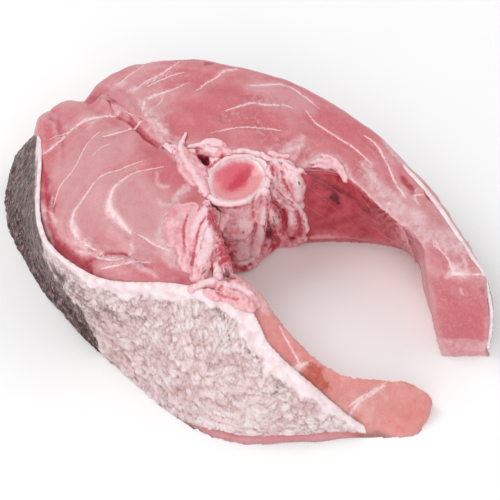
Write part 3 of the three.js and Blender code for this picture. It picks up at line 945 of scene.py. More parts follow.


# %% [markdown]
# ## The skin of the near side
# The skin is about two millimetres thick and covered with small scales in skewed rows. Towards the fish's
# back it is dark grey-brown with fine pale streaks, and towards the belly it turns white, with a pinkish net
# between the scales. Along its cut upper edge runs a smooth white band, the thick layer under the scales.
# The scales are too many to model one by one. The mesh gets the long wrinkles and a warped pattern of
# cells for the little pockets, and the material colours the net between them, with painted shade in the seams
# and painted highlights on the pockets, and adds the finest grain.

# %% The near skin's edge and zones
NEAR_SKIN_EDGE = [
    (-42, -106, 4, 3), (-52, -82, 23, 4.5), (-56, -63, 36, 5.5), (-51, -45, 43, 5), (-56, -30, 43, 3.6),
    (-64, -12, 43, 6), (-77, 8, 43, 4.2), (-79, 22, 43, 1.6), (-77, 36, 43, 0.8), (-72, 46, 43, 0.7),
    (-56, 66, 42, 0.7), (-32, 86, 41, 0.7),
]
GREY_SEEN = [
    [(162, 291, 3), (168, 292, 2)],
    [(186, 291, 3), (196, 296, 4), (202, 302, 2)],
    [(205, 312, 2.5), (216, 310, 5), (224, 318, 3)],
    [(236, 304, 2), (243, 308, 3)],
    [(244, 326, 3), (250, 335, 7), (246, 347, 5), (250, 353, 2)],
    [(256, 356, 2), (262, 362, 4)],
    [(272, 374, 3), (280, 384, 6), (277, 392, 4)],
    [(98, 303, 4), (112, 315, 6), (122, 322, 4)],
    [(132, 318, 4), (146, 320, 3)],
    [(72, 288, 8), (88, 308, 7), (100, 322, 5)],
]
SKIN_DEPTH = 70.0  # no skin reaches further below its edge


def unrolled(points, edge):
    """Each point's place along the skin's edge in mm, as if the skin were rolled out flat."""
    line = smooth_path(edge, 1.0)[:, :2]
    parts = np.array_split(points[:, :2], 20)
    which = np.concatenate([((part[:, None] - line) ** 2).sum(2).argmin(1) for part in parts])
    ahead = np.gradient(line, axis=0)[which]
    ahead /= np.linalg.norm(ahead, axis=1)[:, None]
    length = np.concatenate([[0], np.cumsum(np.linalg.norm(np.diff(line, axis=0), axis=1))])
    return length[which] + ((points[:, :2] - line[which]) * ahead).sum(1)


def pockets_at(across, along, size, seed):
    """0 on the net between the skin's little pockets and 1 in the middle of a pocket."""
    spots = zip(across / size, along / size)
    nearest = [noise.voronoi(Vector((a, b, seed)))[0] for a, b in spots]
    return np.array([min(1.0, 2.0 * (found[1] - found[0])) for found in nearest])


def skin_zones(piece, edge, dark_start, dark_end, slant):
    """Attributes of a skin: band by its cut edge, dark, and its places across and along the streaks."""
    points, facing = shape_of(piece)
    x, y, z = points.T
    path = smooth_path(edge, 1.0)
    near, distance, which = near_path(path, points, facing, SKIN_DEPTH)
    down = np.full(len(points), SKIN_DEPTH)
    wide = np.zeros(len(points))
    down[near] = np.abs(distance)
    wide[near] = path[which, -1]
    wobble = noise_at(points, 8, 11, 3)
    band = 1 - soft_step(down - wide * (1 + 0.6 * wobble), -1.4, 2.2)
    inside = soft_step(-facing[:, 0] * np.sign(x), 0.1, 0.4)
    on_edge = soft_step(facing[:, 2], 0.65, 0.92) * soft_step(z, 32, 38)
    on_edge *= soft_step(8 - down, 0, 2) * soft_step(wide, 0.1, 0.5)
    band = highest(band, inside, on_edge)
    dark = soft_step(y - 0.9 * (z - 17) + 11 * wobble, dark_start, dark_end)
    greys = brush(seen(points), facing, GREY_SEEN, 0.95, 1.1, 12) * towards_camera(points, facing)
    length = unrolled(points, edge)
    lean = np.interp(length, [30, 150], slant)
    across = length - lean * z + 1.2 * noise_at(points, 7, 81)
    along = z + 0.6 * noise_at(points, 9, 82)
    darkness = np.maximum(dark * (1 - band), 0.5 * greys)
    write(piece, band=band, dark=darkness, across=across, along=along)
    return points, facing, down, band, dark, across, along


def scaly_relief(piece, across, along, dark, seed):
    """Soft pockets on the white skin and fine streaks on the dark; writes how creased each point is."""
    wander = noise_at(np.column_stack([across, along, 0 * along]), 3.0, seed, 3)
    upright = across + 0.9 * along * (1 - dark)
    bigger = pockets_at(upright + 1.8 * wander, along - 1.4 * wander, 4.2, seed)
    smaller = pockets_at(upright + 1.2 * wander, along + 0.9 * wander, 2.3, seed + 1)
    streaks = noise_at(np.column_stack([across, along * 0.2, 0 * along]), 1.3, seed + 2, 3)
    pillows = 0.65 * np.sqrt(bigger) + 0.35 * np.sqrt(smaller)
    write(piece, crease=(1 - pillows).clip(0, 1))
    return (pillows - 0.6) * (1 - 0.7 * dark) * 0.85 + streaks * 0.3 * dark


FOOT_DOWN = 3.4
FOOT_OUT = 1.4
near_skin = fine_copy("near_skin", "skin_near_side", 0.58, 2)
points = leaned_out(shape_of(near_skin)[0])
foot = soft_step(points[:, 2], 13, 4) * soft_step(points[:, 1], -62, -44)
points[:, 2] = np.maximum(points[:, 2] - FOOT_DOWN * foot, 0.2)
points[:, 0] -= FOOT_OUT * foot
move_points(near_skin, points)
zones = skin_zones(near_skin, NEAR_SKIN_EDGE, 0, 28, (1.1, 0.25))
points, facing, down, band, dark, across, along = zones
print("near skin reaches", down.max().round(), "mm below its edge")

# %% Wrinkles of the near skin
FLOW = (0.25, -0.9, -0.35)
SIDEWAYS = np.array([1.0, 1.0, 0.6])  # skin is raised more outwards than upwards


def wrinkles_at(points, flow, size, seed):
    """Ridges between about -1 and 1, size millimetres apart, that run along the direction flow."""
    flow = np.array(flow, dtype=float) / np.linalg.norm(flow)
    along = points @ flow
    across = points - along[:, None] * flow
    drawn_out = across / size + (along / (4.5 * size))[:, None] * flow
    return 1 - 2.4 * np.abs(noise_at(drawn_out, 1.0, seed, 2))


free = np.clip(down / 4, 0, 1) * (1 - 0.85 * band)
low_left = soft_step(points[:, 2], 26, 10) * soft_step(points[:, 1], -66, -34)
folds = wrinkles_at(points, FLOW, 3.0, 13) * (0.12 + 0.6 * low_left)
relief = folds + 0.5 * noise_at(points, 15, 14) - 0.35 + scaly_relief(near_skin, across, along, dark, 15)
relief = relief * free + noise_at(points, 4, 16, 2) * 0.25 * band * soft_step(facing[:, 0], 0.3, 0.1)
move_points(near_skin, points + facing * SIDEWAYS * relief[:, None])
write_hollows(near_skin, 8, 5)
print("wrinkles from", relief.min().round(1), "to", relief.max().round(1), "mm")

# %% [markdown]
# ## The skin: finish
# On the white part the net between the pockets is pinkish brown and broken by finer grain; the seams are
# also painted darker as painted shade, and the middles of the pockets whiter as painted highlights. The dark
# back is drawn by narrow streaks, brown-grey and paler by turns. The skin is wet, so it glints, and fine
# white specks add painted glints.

# %% Skin colours
SKIN_WHITE = colour(230, 209, 210)
SKIN_PINK = colour(214, 182, 183)
NET_AND_SHADE_BROWN = colour(172, 120, 118)
LINE_BROWN = colour(132, 84, 81)
DARK_SKIN = colour(58, 28, 26)
DARK_STREAK = colour(186, 144, 143)
BAND_AND_HIGHLIGHT_WHITE = colour(245, 230, 233)
BAND_PINK = colour(231, 205, 208)


# %% Skin material
def skin_paint(name):
    """Wet scaly skin; its streaks follow the attributes across and along."""
    paint = Paint(name)
    where = paint.position()
    fine = paint.noise(where, 1.3, 4.0)
    grit = paint.noise(where, 3.0, 2.0)
    patchy = paint.noise(where, 0.1, 3.0)
    blotchy = paint.noise(where, 0.28, 4.0)
    places = {0: paint.attribute("across"), 1: paint.attribute("along")}
    rolled = paint.node("ShaderNodeCombineXYZ", {}, places)
    crease = paint.attribute("crease")
    creased = (crease + (fine - 0.5) * 0.5).step(0.3, 0.95)
    lively = blotchy.step(0.35, 0.62)
    thin = (paint.noise(paint.stretched(rolled, (0.3, 0.3, 1.0)), 1.0, 5.0) - 0.5).size().step(0.035, 0.0)
    light = paint.mix(patchy.step(0.35, 0.7), SKIN_WHITE, SKIN_PINK)
    # The middles of the pockets are painted whiter: painted highlights.
    light = paint.mix((crease + (fine - 0.5) * 0.3).step(0.45, 0.1) * 0.55, light, BAND_AND_HIGHLIGHT_WHITE)
    # The pinkish-brown net, darkened further in creases and hollows as painted shade.
    light = paint.mix(creased * (lively * 0.62 + 0.14) + paint.attribute("hollow") * 0.22, light, NET_AND_SHADE_BROWN)
    light = paint.mix(thin * (lively * 0.3 + 0.03), light, LINE_BROWN)
    light = paint.mix(grit.step(0.6, 0.75) * lively * 0.4, light, LINE_BROWN)
    # Fine white specks: painted glints.
    light = paint.mix((fine + (grit - 0.5) * 0.4).step(0.6, 0.75) * 0.5, light, BAND_AND_HIGHLIGHT_WHITE)
    furrows = paint.noise(paint.stretched(rolled, (1.35, 0.24, 1.0)), 1.0, 4.0)
    streaks = (furrows + (fine - 0.5) * 0.25).step(0.51, 0.62)
    dark = paint.mix(streaks * 0.75, DARK_SKIN, DARK_STREAK)
    dark = paint.mix(blotchy.step(0.45, 0.75) * 0.28, dark, DARK_STREAK)
    gloom = paint.attribute("dark")
    edge_noise = (furrows - 0.5) * 1.8 + (blotchy - 0.5) * 0.9
    gloom = (gloom + edge_noise * gloom * (1.4 - gloom)).step(0.25, 0.75)
    base = paint.mix(gloom, light, dark)
    band = (paint.attribute("band") + (fine - 0.5) * 0.4).step(0.2, 0.8)
    band_tone = paint.mix(blotchy.step(0.35, 0.7), BAND_AND_HIGHLIGHT_WHITE, BAND_PINK)
    base = paint.mix(band * 0.9, base, band_tone)
    rough = 1 - paint.attribute("band") * 0.75
    relief = fine * 0.7 + grit * 0.2 + streaks * gloom * 0.5 - thin * 0.3
    return paint.wet(
        base,
        fine.step(0.35, 0.65) * 0.2 + 0.26,
        bump=(relief * rough, 0.8, 0.7),
        scatter=(0.08, (1.0, 0.6, 0.5), 1.5),
        coat=(0.35 - gloom * 0.2, 0.16),
        specular=0.35,
    )


hand_over(near_skin, skin_paint("near_scales"))

# %% [markdown]
# ## The skin of the far side
# From the photograph's side only its cut edge shows, a white band with a dark rim, but the part is seen from
# all round, so it gets the same scales, all dark, as the fish's upper side is. Over the loin it has shrunk
# back below the cut face, so there the flesh hides it, except for a short dark line at the back.

# %% The far skin
FAR_SKIN_EDGE = [
    (44, 76, 40, 0), (58, 48, 41, 0), (66, 20, 41, 1), (64, -14, 41, 3.4), (60, -34, 41, 5),
    (56, -50, 41, 5), (48, -70, 41, 4), (32, -98, 40, 3), (27, -110, 40, 3),
]
SHRUNK = 3.4
PEEK_PLACE = 62.0
PEEK_REACH = 12.0
far_skin = fine_copy("far_skin", "skin_far_side", 0.66, 3)
zones = skin_zones(far_skin, FAR_SKIN_EDGE, -170, -130, (0.3, 0.3))
points, facing, down, band, dark, across, along = zones
x, y, z = points.T
free = np.clip(down / 5, 0, 1) * (1 - 0.85 * band)
relief = scaly_relief(far_skin, across, along, dark, 17) * 0.8 + 0.4 * noise_at(points, 14, 18) - 0.4
moved = points + facing * SIDEWAYS * (relief * free)[:, None]
high_up = soft_step(z, 18, 40)
peeks = np.exp(-(((y - PEEK_PLACE) / PEEK_REACH) ** 2)) * high_up
drop = SHRUNK * soft_step(y, -56, -18) * high_up * (1 - peeks)
moved += peeks[:, None] * np.array([0.5, 0.3, 1.3]) - drop[:, None] * np.array([0.35, 0.0, 1.0])
move_points(far_skin, moved)
write_hollows(far_skin, 8, 5)
hand_over(far_skin, skin_paint("far_scales"))


# %% [markdown]
# ## Tissue round the backbone
# Round the backbone everything is torn: bone, gristle, fat and membranes, in every shade from white to dark
# red. Their crests are white. Where they crease some blood has gathered, and the creases and the hollows
# between the parts are painted crimson, partly as blood and partly as painted shade, while bulges are
# painted a little lighter as painted light. So the same strokes, placed on the photograph, raise crests,
# sink creases and paint blood and shade on whatever piece lies there.

# %% Crests, creases, blood and painted shade, and specks
CRESTS = [
    [(206, 196, 2), (214, 201, 2.6), (228, 204, 2.6), (242, 202, 2.2), (250, 198, 1.6)],
    [(255, 192, 2.6), (262, 183, 4), (267, 172, 3.6), (264, 160, 3), (256, 153, 2.4), (240, 149, 1.8)],
    [(258, 152, 1.6), (262, 153, 1.6)],
    [(186, 134, 0.9), (183, 140, 1.2), (180, 147, 1.4), (184, 158, 1.6), (189, 166, 2), (197, 178, 2),
     (203, 190, 2)],
    [(190, 146, 1), (198, 145, 1.4), (205, 142, 2), (212, 141, 3), (219, 143, 2)],
    [(208, 148, 2.4), (214, 150, 2.4)],
    [(183, 216, 3.2), (176, 221, 3.4), (170, 227, 2.8), (171, 237, 2.6), (172, 243, 1.4)],
    [(205, 209, 1.6), (201, 215, 2.4), (196, 224, 2.6), (192, 236, 1.8)],
    [(206, 226, 3.4), (207, 236, 4.6), (206, 248, 4.4), (201, 262, 3.4)],
    [(214, 264, 1.8), (217, 272, 2.4), (218, 280, 2)],
    [(197, 287, 2), (206, 282, 2.4), (213, 281, 1.6)],
    [(226, 286, 2), (238, 288, 2.6), (248, 293, 2.4)],
    [(272, 172, 1.4), (276, 184, 1.8), (281, 193, 1.6), (289, 200, 1.6), (298, 206, 1.2)],
    [(285, 170, 1.4), (290, 176, 3.4), (297, 181, 4.2), (298, 190, 3), (297, 198, 2)],
    [(276, 160, 1.4), (284, 163, 1.4), (292, 168, 1.2), (300, 172, 1)],
    [(270, 186, 1.4), (274, 197, 1.6), (283, 205, 1.4), (293, 209, 1)],
    [(300, 208, 0.9), (305, 218, 1.3), (308, 230, 1.3)],
    [(291, 211, 1.8), (292, 222, 2.4)],
    [(271, 212, 2.2), (275, 220, 2.6)],
    [(265, 161, 1.4), (273, 161, 1.4), (282, 160, 1)],
    [(240, 222, 4), (246, 226, 4)],
    [(243, 247, 4), (250, 255, 4.6), (245, 261, 3.4)],
    [(258, 238, 2.4), (262, 226, 2.4), (262, 210, 2.2)],
]
CREASES = [
    [(257, 188, 1), (254, 198, 1.3), (253, 208, 1.2), (254, 217, 0.9)],
    [(207, 206, 0.9), (220, 208, 1.1), (236, 208, 1.1), (250, 205, 0.8)],
    [(222, 238, 1.4), (232, 241, 1.6), (244, 240, 1.3), (253, 233, 1.2), (256, 224, 1)],
    [(236, 266, 1.6), (244, 268, 1.8), (250, 264, 1.2)],
    [(187, 216, 1), (184, 226, 1.1), (184, 238, 1.2), (185, 252, 1)],
    [(205, 217, 0.9), (200, 226, 1.1), (197, 238, 1.2), (194, 252, 1.1), (192, 264, 0.9)],
    [(213, 252, 1), (212, 264, 1.2), (211, 276, 1.2)],
    [(281, 171, 0.9), (284, 182, 1.1), (288, 190, 0.9)],
    [(277, 190, 0.7), (284, 197, 0.8), (293, 203, 0.7)],
    [(270, 196, 1.2), (277, 202, 1.8), (284, 208, 1.6), (286, 219, 1.6), (283, 232, 1.8)],
    [(297, 212, 1.1), (300, 222, 1.5), (300, 234, 1.2)],
    [(269, 163, 1.4), (272, 169, 1.5)],
    [(268, 200, 1.2), (268, 212, 1.2), (267, 224, 1.4), (268, 236, 1.4)],
    [(222, 157, 0.8), (216, 161, 1), (211, 164, 1.2)],
    [(222, 286, 1.2), (218, 292, 1.4), (226, 297, 1.4), (238, 299, 1.2)],
]
# Crimson in the hollows round the bone: partly blood, partly painted shade.
BLOOD_AND_SHADE_STROKES = [
    [(208, 165, 4.4), (206, 163, 4)],
    [(197, 153, 3), (200, 157, 3.2), (204, 161, 3)],
    [(212, 212, 4), (212, 222, 4.4), (217, 229, 3.4), (222, 236, 2.6)],
    [(226, 245, 5), (222, 252, 6.6), (230, 256, 5), (222, 262, 4)],
    [(238, 268, 3), (246, 270, 2.6)],
    [(272, 168, 2.4), (273, 175, 1.6)],
    [(275, 203, 2.6), (283, 211, 3), (284, 222, 2.6)],
    [(271, 232, 3), (276, 242, 4.6), (274, 250, 3.4)],
    [(297, 232, 2.4), (292, 238, 2.6)],
    [(264, 226, 2), (265, 230, 2)],
]
SPECKS = [
    [(243, 232, 1.1), (243.5, 233, 1)],
    [(268, 221, 0.7), (270, 229, 1.5), (271, 235, 0.9)],
    [(225, 268, 0.9), (227, 272, 2), (228, 277, 2.2), (228, 281, 1.4)],
    [(203, 273, 1), (206, 270, 0.9)],
    [(298, 182, 0.9), (299, 184, 0.9)],
    [(272, 216, 0.7), (274, 222, 0.7)],
]


CREST_HEIGHT = 0.45
CREASE_DEPTH = 0.4


def wider(strokes, factor):
    return [[(across, down, factor * half) for across, down, half in knots] for knots in strokes]


def dress(piece):
    """Raise crests, sink creases, and write how white, how red with blood and painted shade, how grey and how
    hollow every point is.
    """
    points, facing = shape_of(piece)
    view = seen(points)
    front = towards_camera(points, facing)
    raised = brush(view, facing, wider(CRESTS, 1.25), 1.0, 0.5, 71) * front
    sunk = brush(view, facing, wider(CREASES, 1.5), 1.0, 0.5, 72) * front
    blood_and_shade_mask = brush(view, facing, BLOOD_AND_SHADE_STROKES, 0.8, 0.6, 74) * front
    specks = brush(view, facing, SPECKS, 0.7, 0.5, 75) * front
    rags = noise_at(points, 1.6, 73) * 0.1 + noise_at(points, 3.4, 76) * 0.3
    relief = raised * CREST_HEIGHT - sunk * CREASE_DEPTH + rags * soft_step(points[:, 2], 0.4, 2.0)
    move_points(piece, points + facing * relief[:, None])
    # Creases are painted red: partly blood, partly painted shade.
    write(piece, white=raised, blood=np.maximum(sunk * 0.6, blood_and_shade_mask * 0.85), grey=specks)
    write_hollows(piece, 10, 4)


# %% Tissue material
TISSUE_WHITE = colour(242, 212, 217)
TISSUE_BLOOD_AND_SHADE = colour(186, 46, 70)
TISSUE_CLOT_AND_SHADE = colour(104, 4, 20)
TISSUE_GREY = colour(112, 92, 88)


def tissue_paint(name, body, tint, thin=None):
    """Clouded tissue with white crests, creases red with blood and painted shade, and grey specks; thin is
    the colour of its hem.
    """
    paint = Paint(name)
    where = paint.position()
    cloud = paint.noise(where, 0.25, 3.0)
    mottle = paint.noise(where, 0.6, 4.0)
    grain = paint.noise(where, 1.4, 4.0)
    hollow = paint.attribute("hollow")
    # Hollows lean to the darker tint: painted shade.
    base = paint.mix((cloud + (grain - 0.5) * 0.5 + hollow * 0.35).step(0.35, 0.75), body, tint)
    # Bulges are painted whiter and hollows less white: painted light and painted shade.
    crest = paint.attribute("white") * (mottle.step(0.2, 0.6) * 0.6 + 0.4) - hollow * 0.35
    base = paint.mix(crest.step(0.05, 0.9) * 0.8, base, TISSUE_WHITE)
    if thin:
        hem = (paint.attribute("rise") + (grain - 0.5) * 0.9).step(0.75, 0.05)
        base = paint.mix(hem * 0.75, base, thin)
    blood = paint.attribute("blood")
    # Hollows add a little red: painted shade.
    bloody = (blood + (mottle - 0.5) * 0.9 * blood + hollow * 0.1).step(0.1, 0.85)
    base = paint.mix(bloody * 0.9, base, TISSUE_BLOOD_AND_SHADE)
    darkest = (blood + (mottle - 0.5) * 0.5).step(0.75, 1.15)
    base = paint.mix(darkest * 0.7, base, TISSUE_CLOT_AND_SHADE)
    grey = (paint.attribute("grey") + (grain - 0.5) * 0.5).step(0.3, 0.7)
    base = paint.mix(grey * 0.85, base, TISSUE_GREY)
    return paint.wet(
        base,
        grain.step(0.3, 0.7) * 0.18 + 0.3,
        bump=(grain * 0.5 + mottle * 0.5, 0.5, 0.5),
        scatter=(0.25, (1.0, 0.45, 0.4), 2.0),
        coat=(0.3, 0.16),
    )


print(len(CRESTS), "crests,", len(CREASES), "creases,", len(BLOOD_AND_SHADE_STROKES), "blood_and_shade_mask")

# %% [markdown]
# ## The backbone
# The knife passed through the joint between two vertebrae, so the upper one shows its hollow end: a pale
# gristly rim round a bowl of clear red jelly. Below the rim the bone draws in to a waist, with strands of
# pink tissue over it, and its arch runs back over the dark canal of the spinal cord. Remeshed copies of
# the solids keep their form.

# %% The two vertebrae
RIM = (CENTRUM_WIDTH / 2, CENTRUM_DEPTH / 2)
CANAL = [(-0.5, 19, 44, 3.2), (-0.5, 19, 20, 3.2)]
bone_finish = tissue_paint("pink_bone", colour(246, 197, 202), colour(234, 152, 160))


def raise_attribute(piece, name, values):
    """Raise an attribute to the values where it is lower."""
    attribute = piece.data.attributes[name]
    held = np.empty(len(values), dtype=np.float32)
    attribute.data.foreach_get("value", held)
    attribute.data.foreach_set("value", np.maximum(held, values).astype(np.float32))


def vertebra(node, name, voxel, bowl):
    """A remeshed vertebra with lumpy sides and a white rim; bowl lowers its hollow end below the jelly."""
    piece = fine_copy(node, name, voxel, 3)
    points, facing = shape_of(piece)
    x, y, z = points.T
    out = np.hypot(x / RIM[0], y / RIM[1])
    hollow_end = soft_step(out, 0.92, 0.78) * soft_step(z, 30, 36)
    hollow_end *= soft_step(facing[:, 2], 0.0, 0.3)
    upright = points * np.array([1.0, 1.0, 0.25])
    lumps = noise_at(points, 5, 19, 2) * 0.6 + noise_at(upright, 1.8, 20) * 0.3
    lumps *= (1 - hollow_end) * soft_step(z, 0.5, 2.5)
    move_points(piece, points + facing * (lumps - hollow_end * bowl)[:, None])
    dress(piece)
    # The canal is painted dark red to near black: partly blood, partly painted shade of the hole.
    raise_attribute(piece, "blood", brush(points, facing, [CANAL], 0.3, 0.3, 17) * 1.2)
    ring = soft_step(z, 39.5, 42.5) * soft_step(out, 0.6, 0.75)
    raise_attribute(piece, "white", (ring * (0.45 + 0.35 * noise_at(points, 4, 21))).clip(0, 1))
    hand_over(piece, bone_finish)
    return piece


upper = vertebra("upper_vertebra", "vertebra_upper", 0.5, 1.4)
lower = vertebra("lower_vertebra", "vertebra_lower", 0.6, 0.0)

# %% [markdown]
# ## The jelly in the joint
# The hollow of the joint is filled with clear jelly that has sunk a little in the middle. A flattened sphere
# is the nearest primitive; its top is pressed into a bowl, so that it meets the rim all round. Its colour
# goes from white at the edge over pale pink to crimson in the deep part, which lies off centre.

# %% The jelly
JELLY_SIZE = (14.6, 11.8)
JELLY_LOW = 40.0
JELLY_BOWL = 3.4  # from its middle up to its edge
JELLY_THICK = 2.2
JELLY_DEEP = [[(251, 168, 3), (246, 174, 5), (239, 181, 6), (232, 187, 4)]]
JELLY_RED = [[(222, 176, 9), (236, 174, 14), (246, 170, 9)], [(228, 184, 9), (240, 182, 8)]]
bpy.ops.object.select_all(action="DESELECT")
bpy.ops.mesh.primitive_uv_sphere_add(segments=96, ring_count=72, radius=1, location=(0, 0, 0))
jelly = bpy.context.object
jelly.name = "joint_jelly"
ball = vectors_of(jelly, "co")
out = np.hypot(ball[:, 0], ball[:, 1])
bowl = JELLY_LOW + JELLY_BOWL * out**2.4
points = np.column_stack([ball[:, 0] * JELLY_SIZE[0], ball[:, 1] * JELLY_SIZE[1], bowl])
points[:, 2] -= (ball[:, 2] < 0) * JELLY_THICK * (1 - out**2)
points[:, 2] += noise_at(points, 5, 25) * 0.22
move_points(jelly, points)
facing = vectors_of(jelly, "normal")
deep = brush(seen(points), facing, JELLY_DEEP, 0.9, 0.4, 26)
red = brush(seen(points), facing, JELLY_RED, 0.95, 0.2, 27)
write(jelly, deep=deep, red=red, out=out)
print("jelly", round(jelly.dimensions.x, 4), "m wide")


# %% Jelly material
def jelly_paint():
    paint = Paint("joint_jelly")
    grain = paint.noise(paint.position(), 0.5, 3.0)
    specks = paint.noise(paint.position(), 1.6, 3.0)
    edge = (paint.attribute("out") + (grain - 0.5) * 0.16).step(0.72, 0.93)
    base = paint.mix(edge, colour(229, 150, 154), colour(244, 216, 219))
    red = (paint.attribute("red") + (grain - 0.5) * 0.3).step(0.1, 1.0)
    base = paint.mix(red, base, colour(214, 96, 112))
    deep = (paint.attribute("deep") + (grain - 0.5) * 0.3).step(0.1, 1.0)
    base = paint.mix(deep * 0.9, base, colour(196, 52, 78))
    base = paint.mix(specks.step(0.68, 0.76) * 0.5, base, colour(242, 205, 208))
    return paint.wet(
        base,
        grain.step(0.3, 0.7) * 0.12 + 0.26,
        bump=(grain * 0.6 + specks * 0.4, 0.4, 0.4),
        scatter=(0.25, (1.0, 0.35, 0.3), 1.5),
        coat=(0.3, 0.14),
    )


hand_over(jelly, jelly_paint())


# %% [markdown]
# ## The lining of the belly
# On the far side a thin skin still lines the belly wall. It is dark red where the muscle shows through,
# crossed by the pale lines of the ribs and wrinkled towards the flap; along its top it is also painted darker
# as painted shade under the flesh's edge. The solid is replaced by a copy of itself with ribs, wrinkles and
# stains drawn on its wall as three-dimensional strokes.

# %% The lining
RIBS = [
    [(18, -12, 41, 0.5), (22.2, -16.5, 37, 0.6), (25.9, -21.9, 30, 0.5), (30, -29, 22, 0.4),
     (35, -40, 12, 0.3)],
    [(20, -16, 27, 0.5), (22.7, -20.3, 22.5, 0.6), (25.4, -24.5, 18, 0.6), (28.7, -28.7, 13.5, 0.6),
     (32.3, -34.6, 6, 0.5)],
    [(27.8, -22.9, 35.5, 0.5), (33.1, -32.8, 28.5, 0.6), (34.2, -45.8, 24, 0.5), (38, -58, 15, 0.4)],
    [(31, -40, 37, 0.3), (32, -50, 31, 0.5), (36, -60, 22, 0.4)],
    [(35, -46, 16, 0.3), (39, -56, 9, 0.4), (43, -62, 5, 0.3)],
]
WALL_CLOTS = [[(31.3, -28.8, 26.5, 2.8), (32.7, -31.7, 23.5, 1.8)]]
# Deeper red bands on the wall; the one along its top is painted shade under the flesh's edge.
WALL_DEEP_AND_SHADE = [
    [(33.8, -43.4, 25, 2.6), (31.6, -49.7, 33, 2.6)],
    [(24, -17, 41, 2.4), (30, -27, 33, 2.6), (32, -38, 31, 2.4)],
    [(21, -19, 15, 2.2), (27, -28.5, 6, 2.4)],
]
WALL_PALE = [
    [(26, -27, 4, 4), (34, -38, 2, 4), (44, -56, 2, 4), (43, -62, 4, 4)],
    [(40, -60, 12, 4), (44, -60, 5, 4)],
]
WALL_HEM = [
    [(398, 226, 3), (406, 240, 6), (415, 256, 7)],
    [(312, 238, 2), (326, 237, 3), (340, 240, 3), (356, 246, 3), (372, 252, 3), (392, 254, 4)],
]
lining = fine_copy("cavity_lining", "belly_lining", 0.5, 3)
points, facing = shape_of(lining)
x, y, z = points.T
inward = soft_step(-facing[:, 0], -0.1, 0.3)
offset, width = draw_lines(points, facing, RIBS)
clots = brush(points, facing, WALL_CLOTS, 0.7, 0.4, 27)
deep = brush(points, facing, WALL_DEEP_AND_SHADE, 0.9, 0.4, 27) * 0.5
wrinkled = soft_step(-y, 40, 55)
height = noise_at(points, 6, 28, 3) * 0.5 - clots * 0.5
height += np.exp(-((offset / 0.8) ** 2)) * np.clip(width / 0.4, 0, 1) * 0.4
height += wrinkled * np.sin(y * 1.6 + z * 0.9 + 4 * noise_at(points, 8, 29)) * 0.3
moved = points + facing * (height * inward)[:, None]
moved[:, 0] += 1.4 * soft_step(-y, 46, 60)
move_points(lining, moved)
pale = brush(points, facing, WALL_PALE, 0.9, 0.4, 30) * 0.7
hem = brush(seen(points), facing, WALL_HEM, 0.9, 0.5, 32)
write(lining, line_offset=offset, line_width=width, blood=np.maximum(clots, deep), fat=np.maximum(pale, hem))
print("lining has", len(RIBS), "rib lines")


# %% Lining material
def lining_paint():
    paint = Paint("belly_lining")
    where = paint.position()
    cloud = paint.noise(where, 0.2, 4.0)
    base = paint.mix(cloud.step(0.3, 0.7), colour(166, 28, 50), colour(194, 72, 88))
    base = paint.mix(paint.attribute("fat"), base, colour(222, 150, 156))
    clots_and_shade = paint.attribute("blood").step(0.2, 0.8)
    base = paint.mix(clots_and_shade * 0.9, base, colour(82, 0, 12))
    wander = (paint.noise(where, 0.6, 3.0) - 0.5) * 0.9
    away = (paint.attribute("line_offset") + wander).size()
    line = (away / (paint.attribute("line_width") + 0.02)).step(1.4, 0.4)
    base = paint.mix(line * 0.45, base, colour(226, 150, 158))
    grain = paint.noise(where, 1.2, 4.0)
    return paint.wet(
        base,
        grain.step(0.3, 0.7) * 0.15 + 0.28,
        bump=(grain, 0.6, 0.4),
        scatter=(0.15, (1.0, 0.3, 0.25), 2.0),
        coat=(0.4 - clots_and_shade * 0.3, 0.15),
    )


hand_over(lining, lining_paint())

# %% [markdown]
# ## Strands and folds laid on the steak
# Ridges of fat, strands of gristle and folded membranes lie on the flesh and the bones. Each is a few
# strokes, whose knots are a pixel of the photograph, how far it stands off what carries it, and a radius in
# mm. A knot is found by following the line of sight through its pixel until it meets the steak. Rows of
# little balls along the strokes are then fused by a voxel remesh and smoothed, which gives the soft joins
# that real tissue has. Single tubes would look like string. The balls are sunk into what carries them, and
# where the tissue meets it, its hem takes on a redder colour, as if it had grown there.

# %% Knots on what carries them
CARRIERS = [flesh, lining, upper, lower, near_skin]
bpy.context.view_layer.update()


def landed(across, down, lift):
    """The place on the line of sight through a pixel that stands lift mm off the steak, or off the board."""
    start = Vector(to_frame(CAMERA_PLACE))
    reaches = []
    for aside, below in ((0, 0), (2, 0), (-2, 0), (0, 2), (0, -2)):
        sight = line_of_sight(across + aside, down + below)
        for carrier in CARRIERS:
            hit, spot, *_ = carrier.ray_cast(start, sight)
            if hit:
                reaches.append((spot - start).length)
    sight = line_of_sight(across, down)
    reaches = reaches or [-start.z / sight.z]
    return to_fish(np.array(start + sight * (min(reaches) - lift * MM)))


BASES = [BVHTree.FromObject(carrier, bpy.context.evaluated_depsgraph_get()) for carrier in CARRIERS]


def off_carriers(point):
    """How far a point lies off the nearest carrier, in mm."""
    return min(base.find_nearest(Vector(point))[3] for base in BASES) / MM


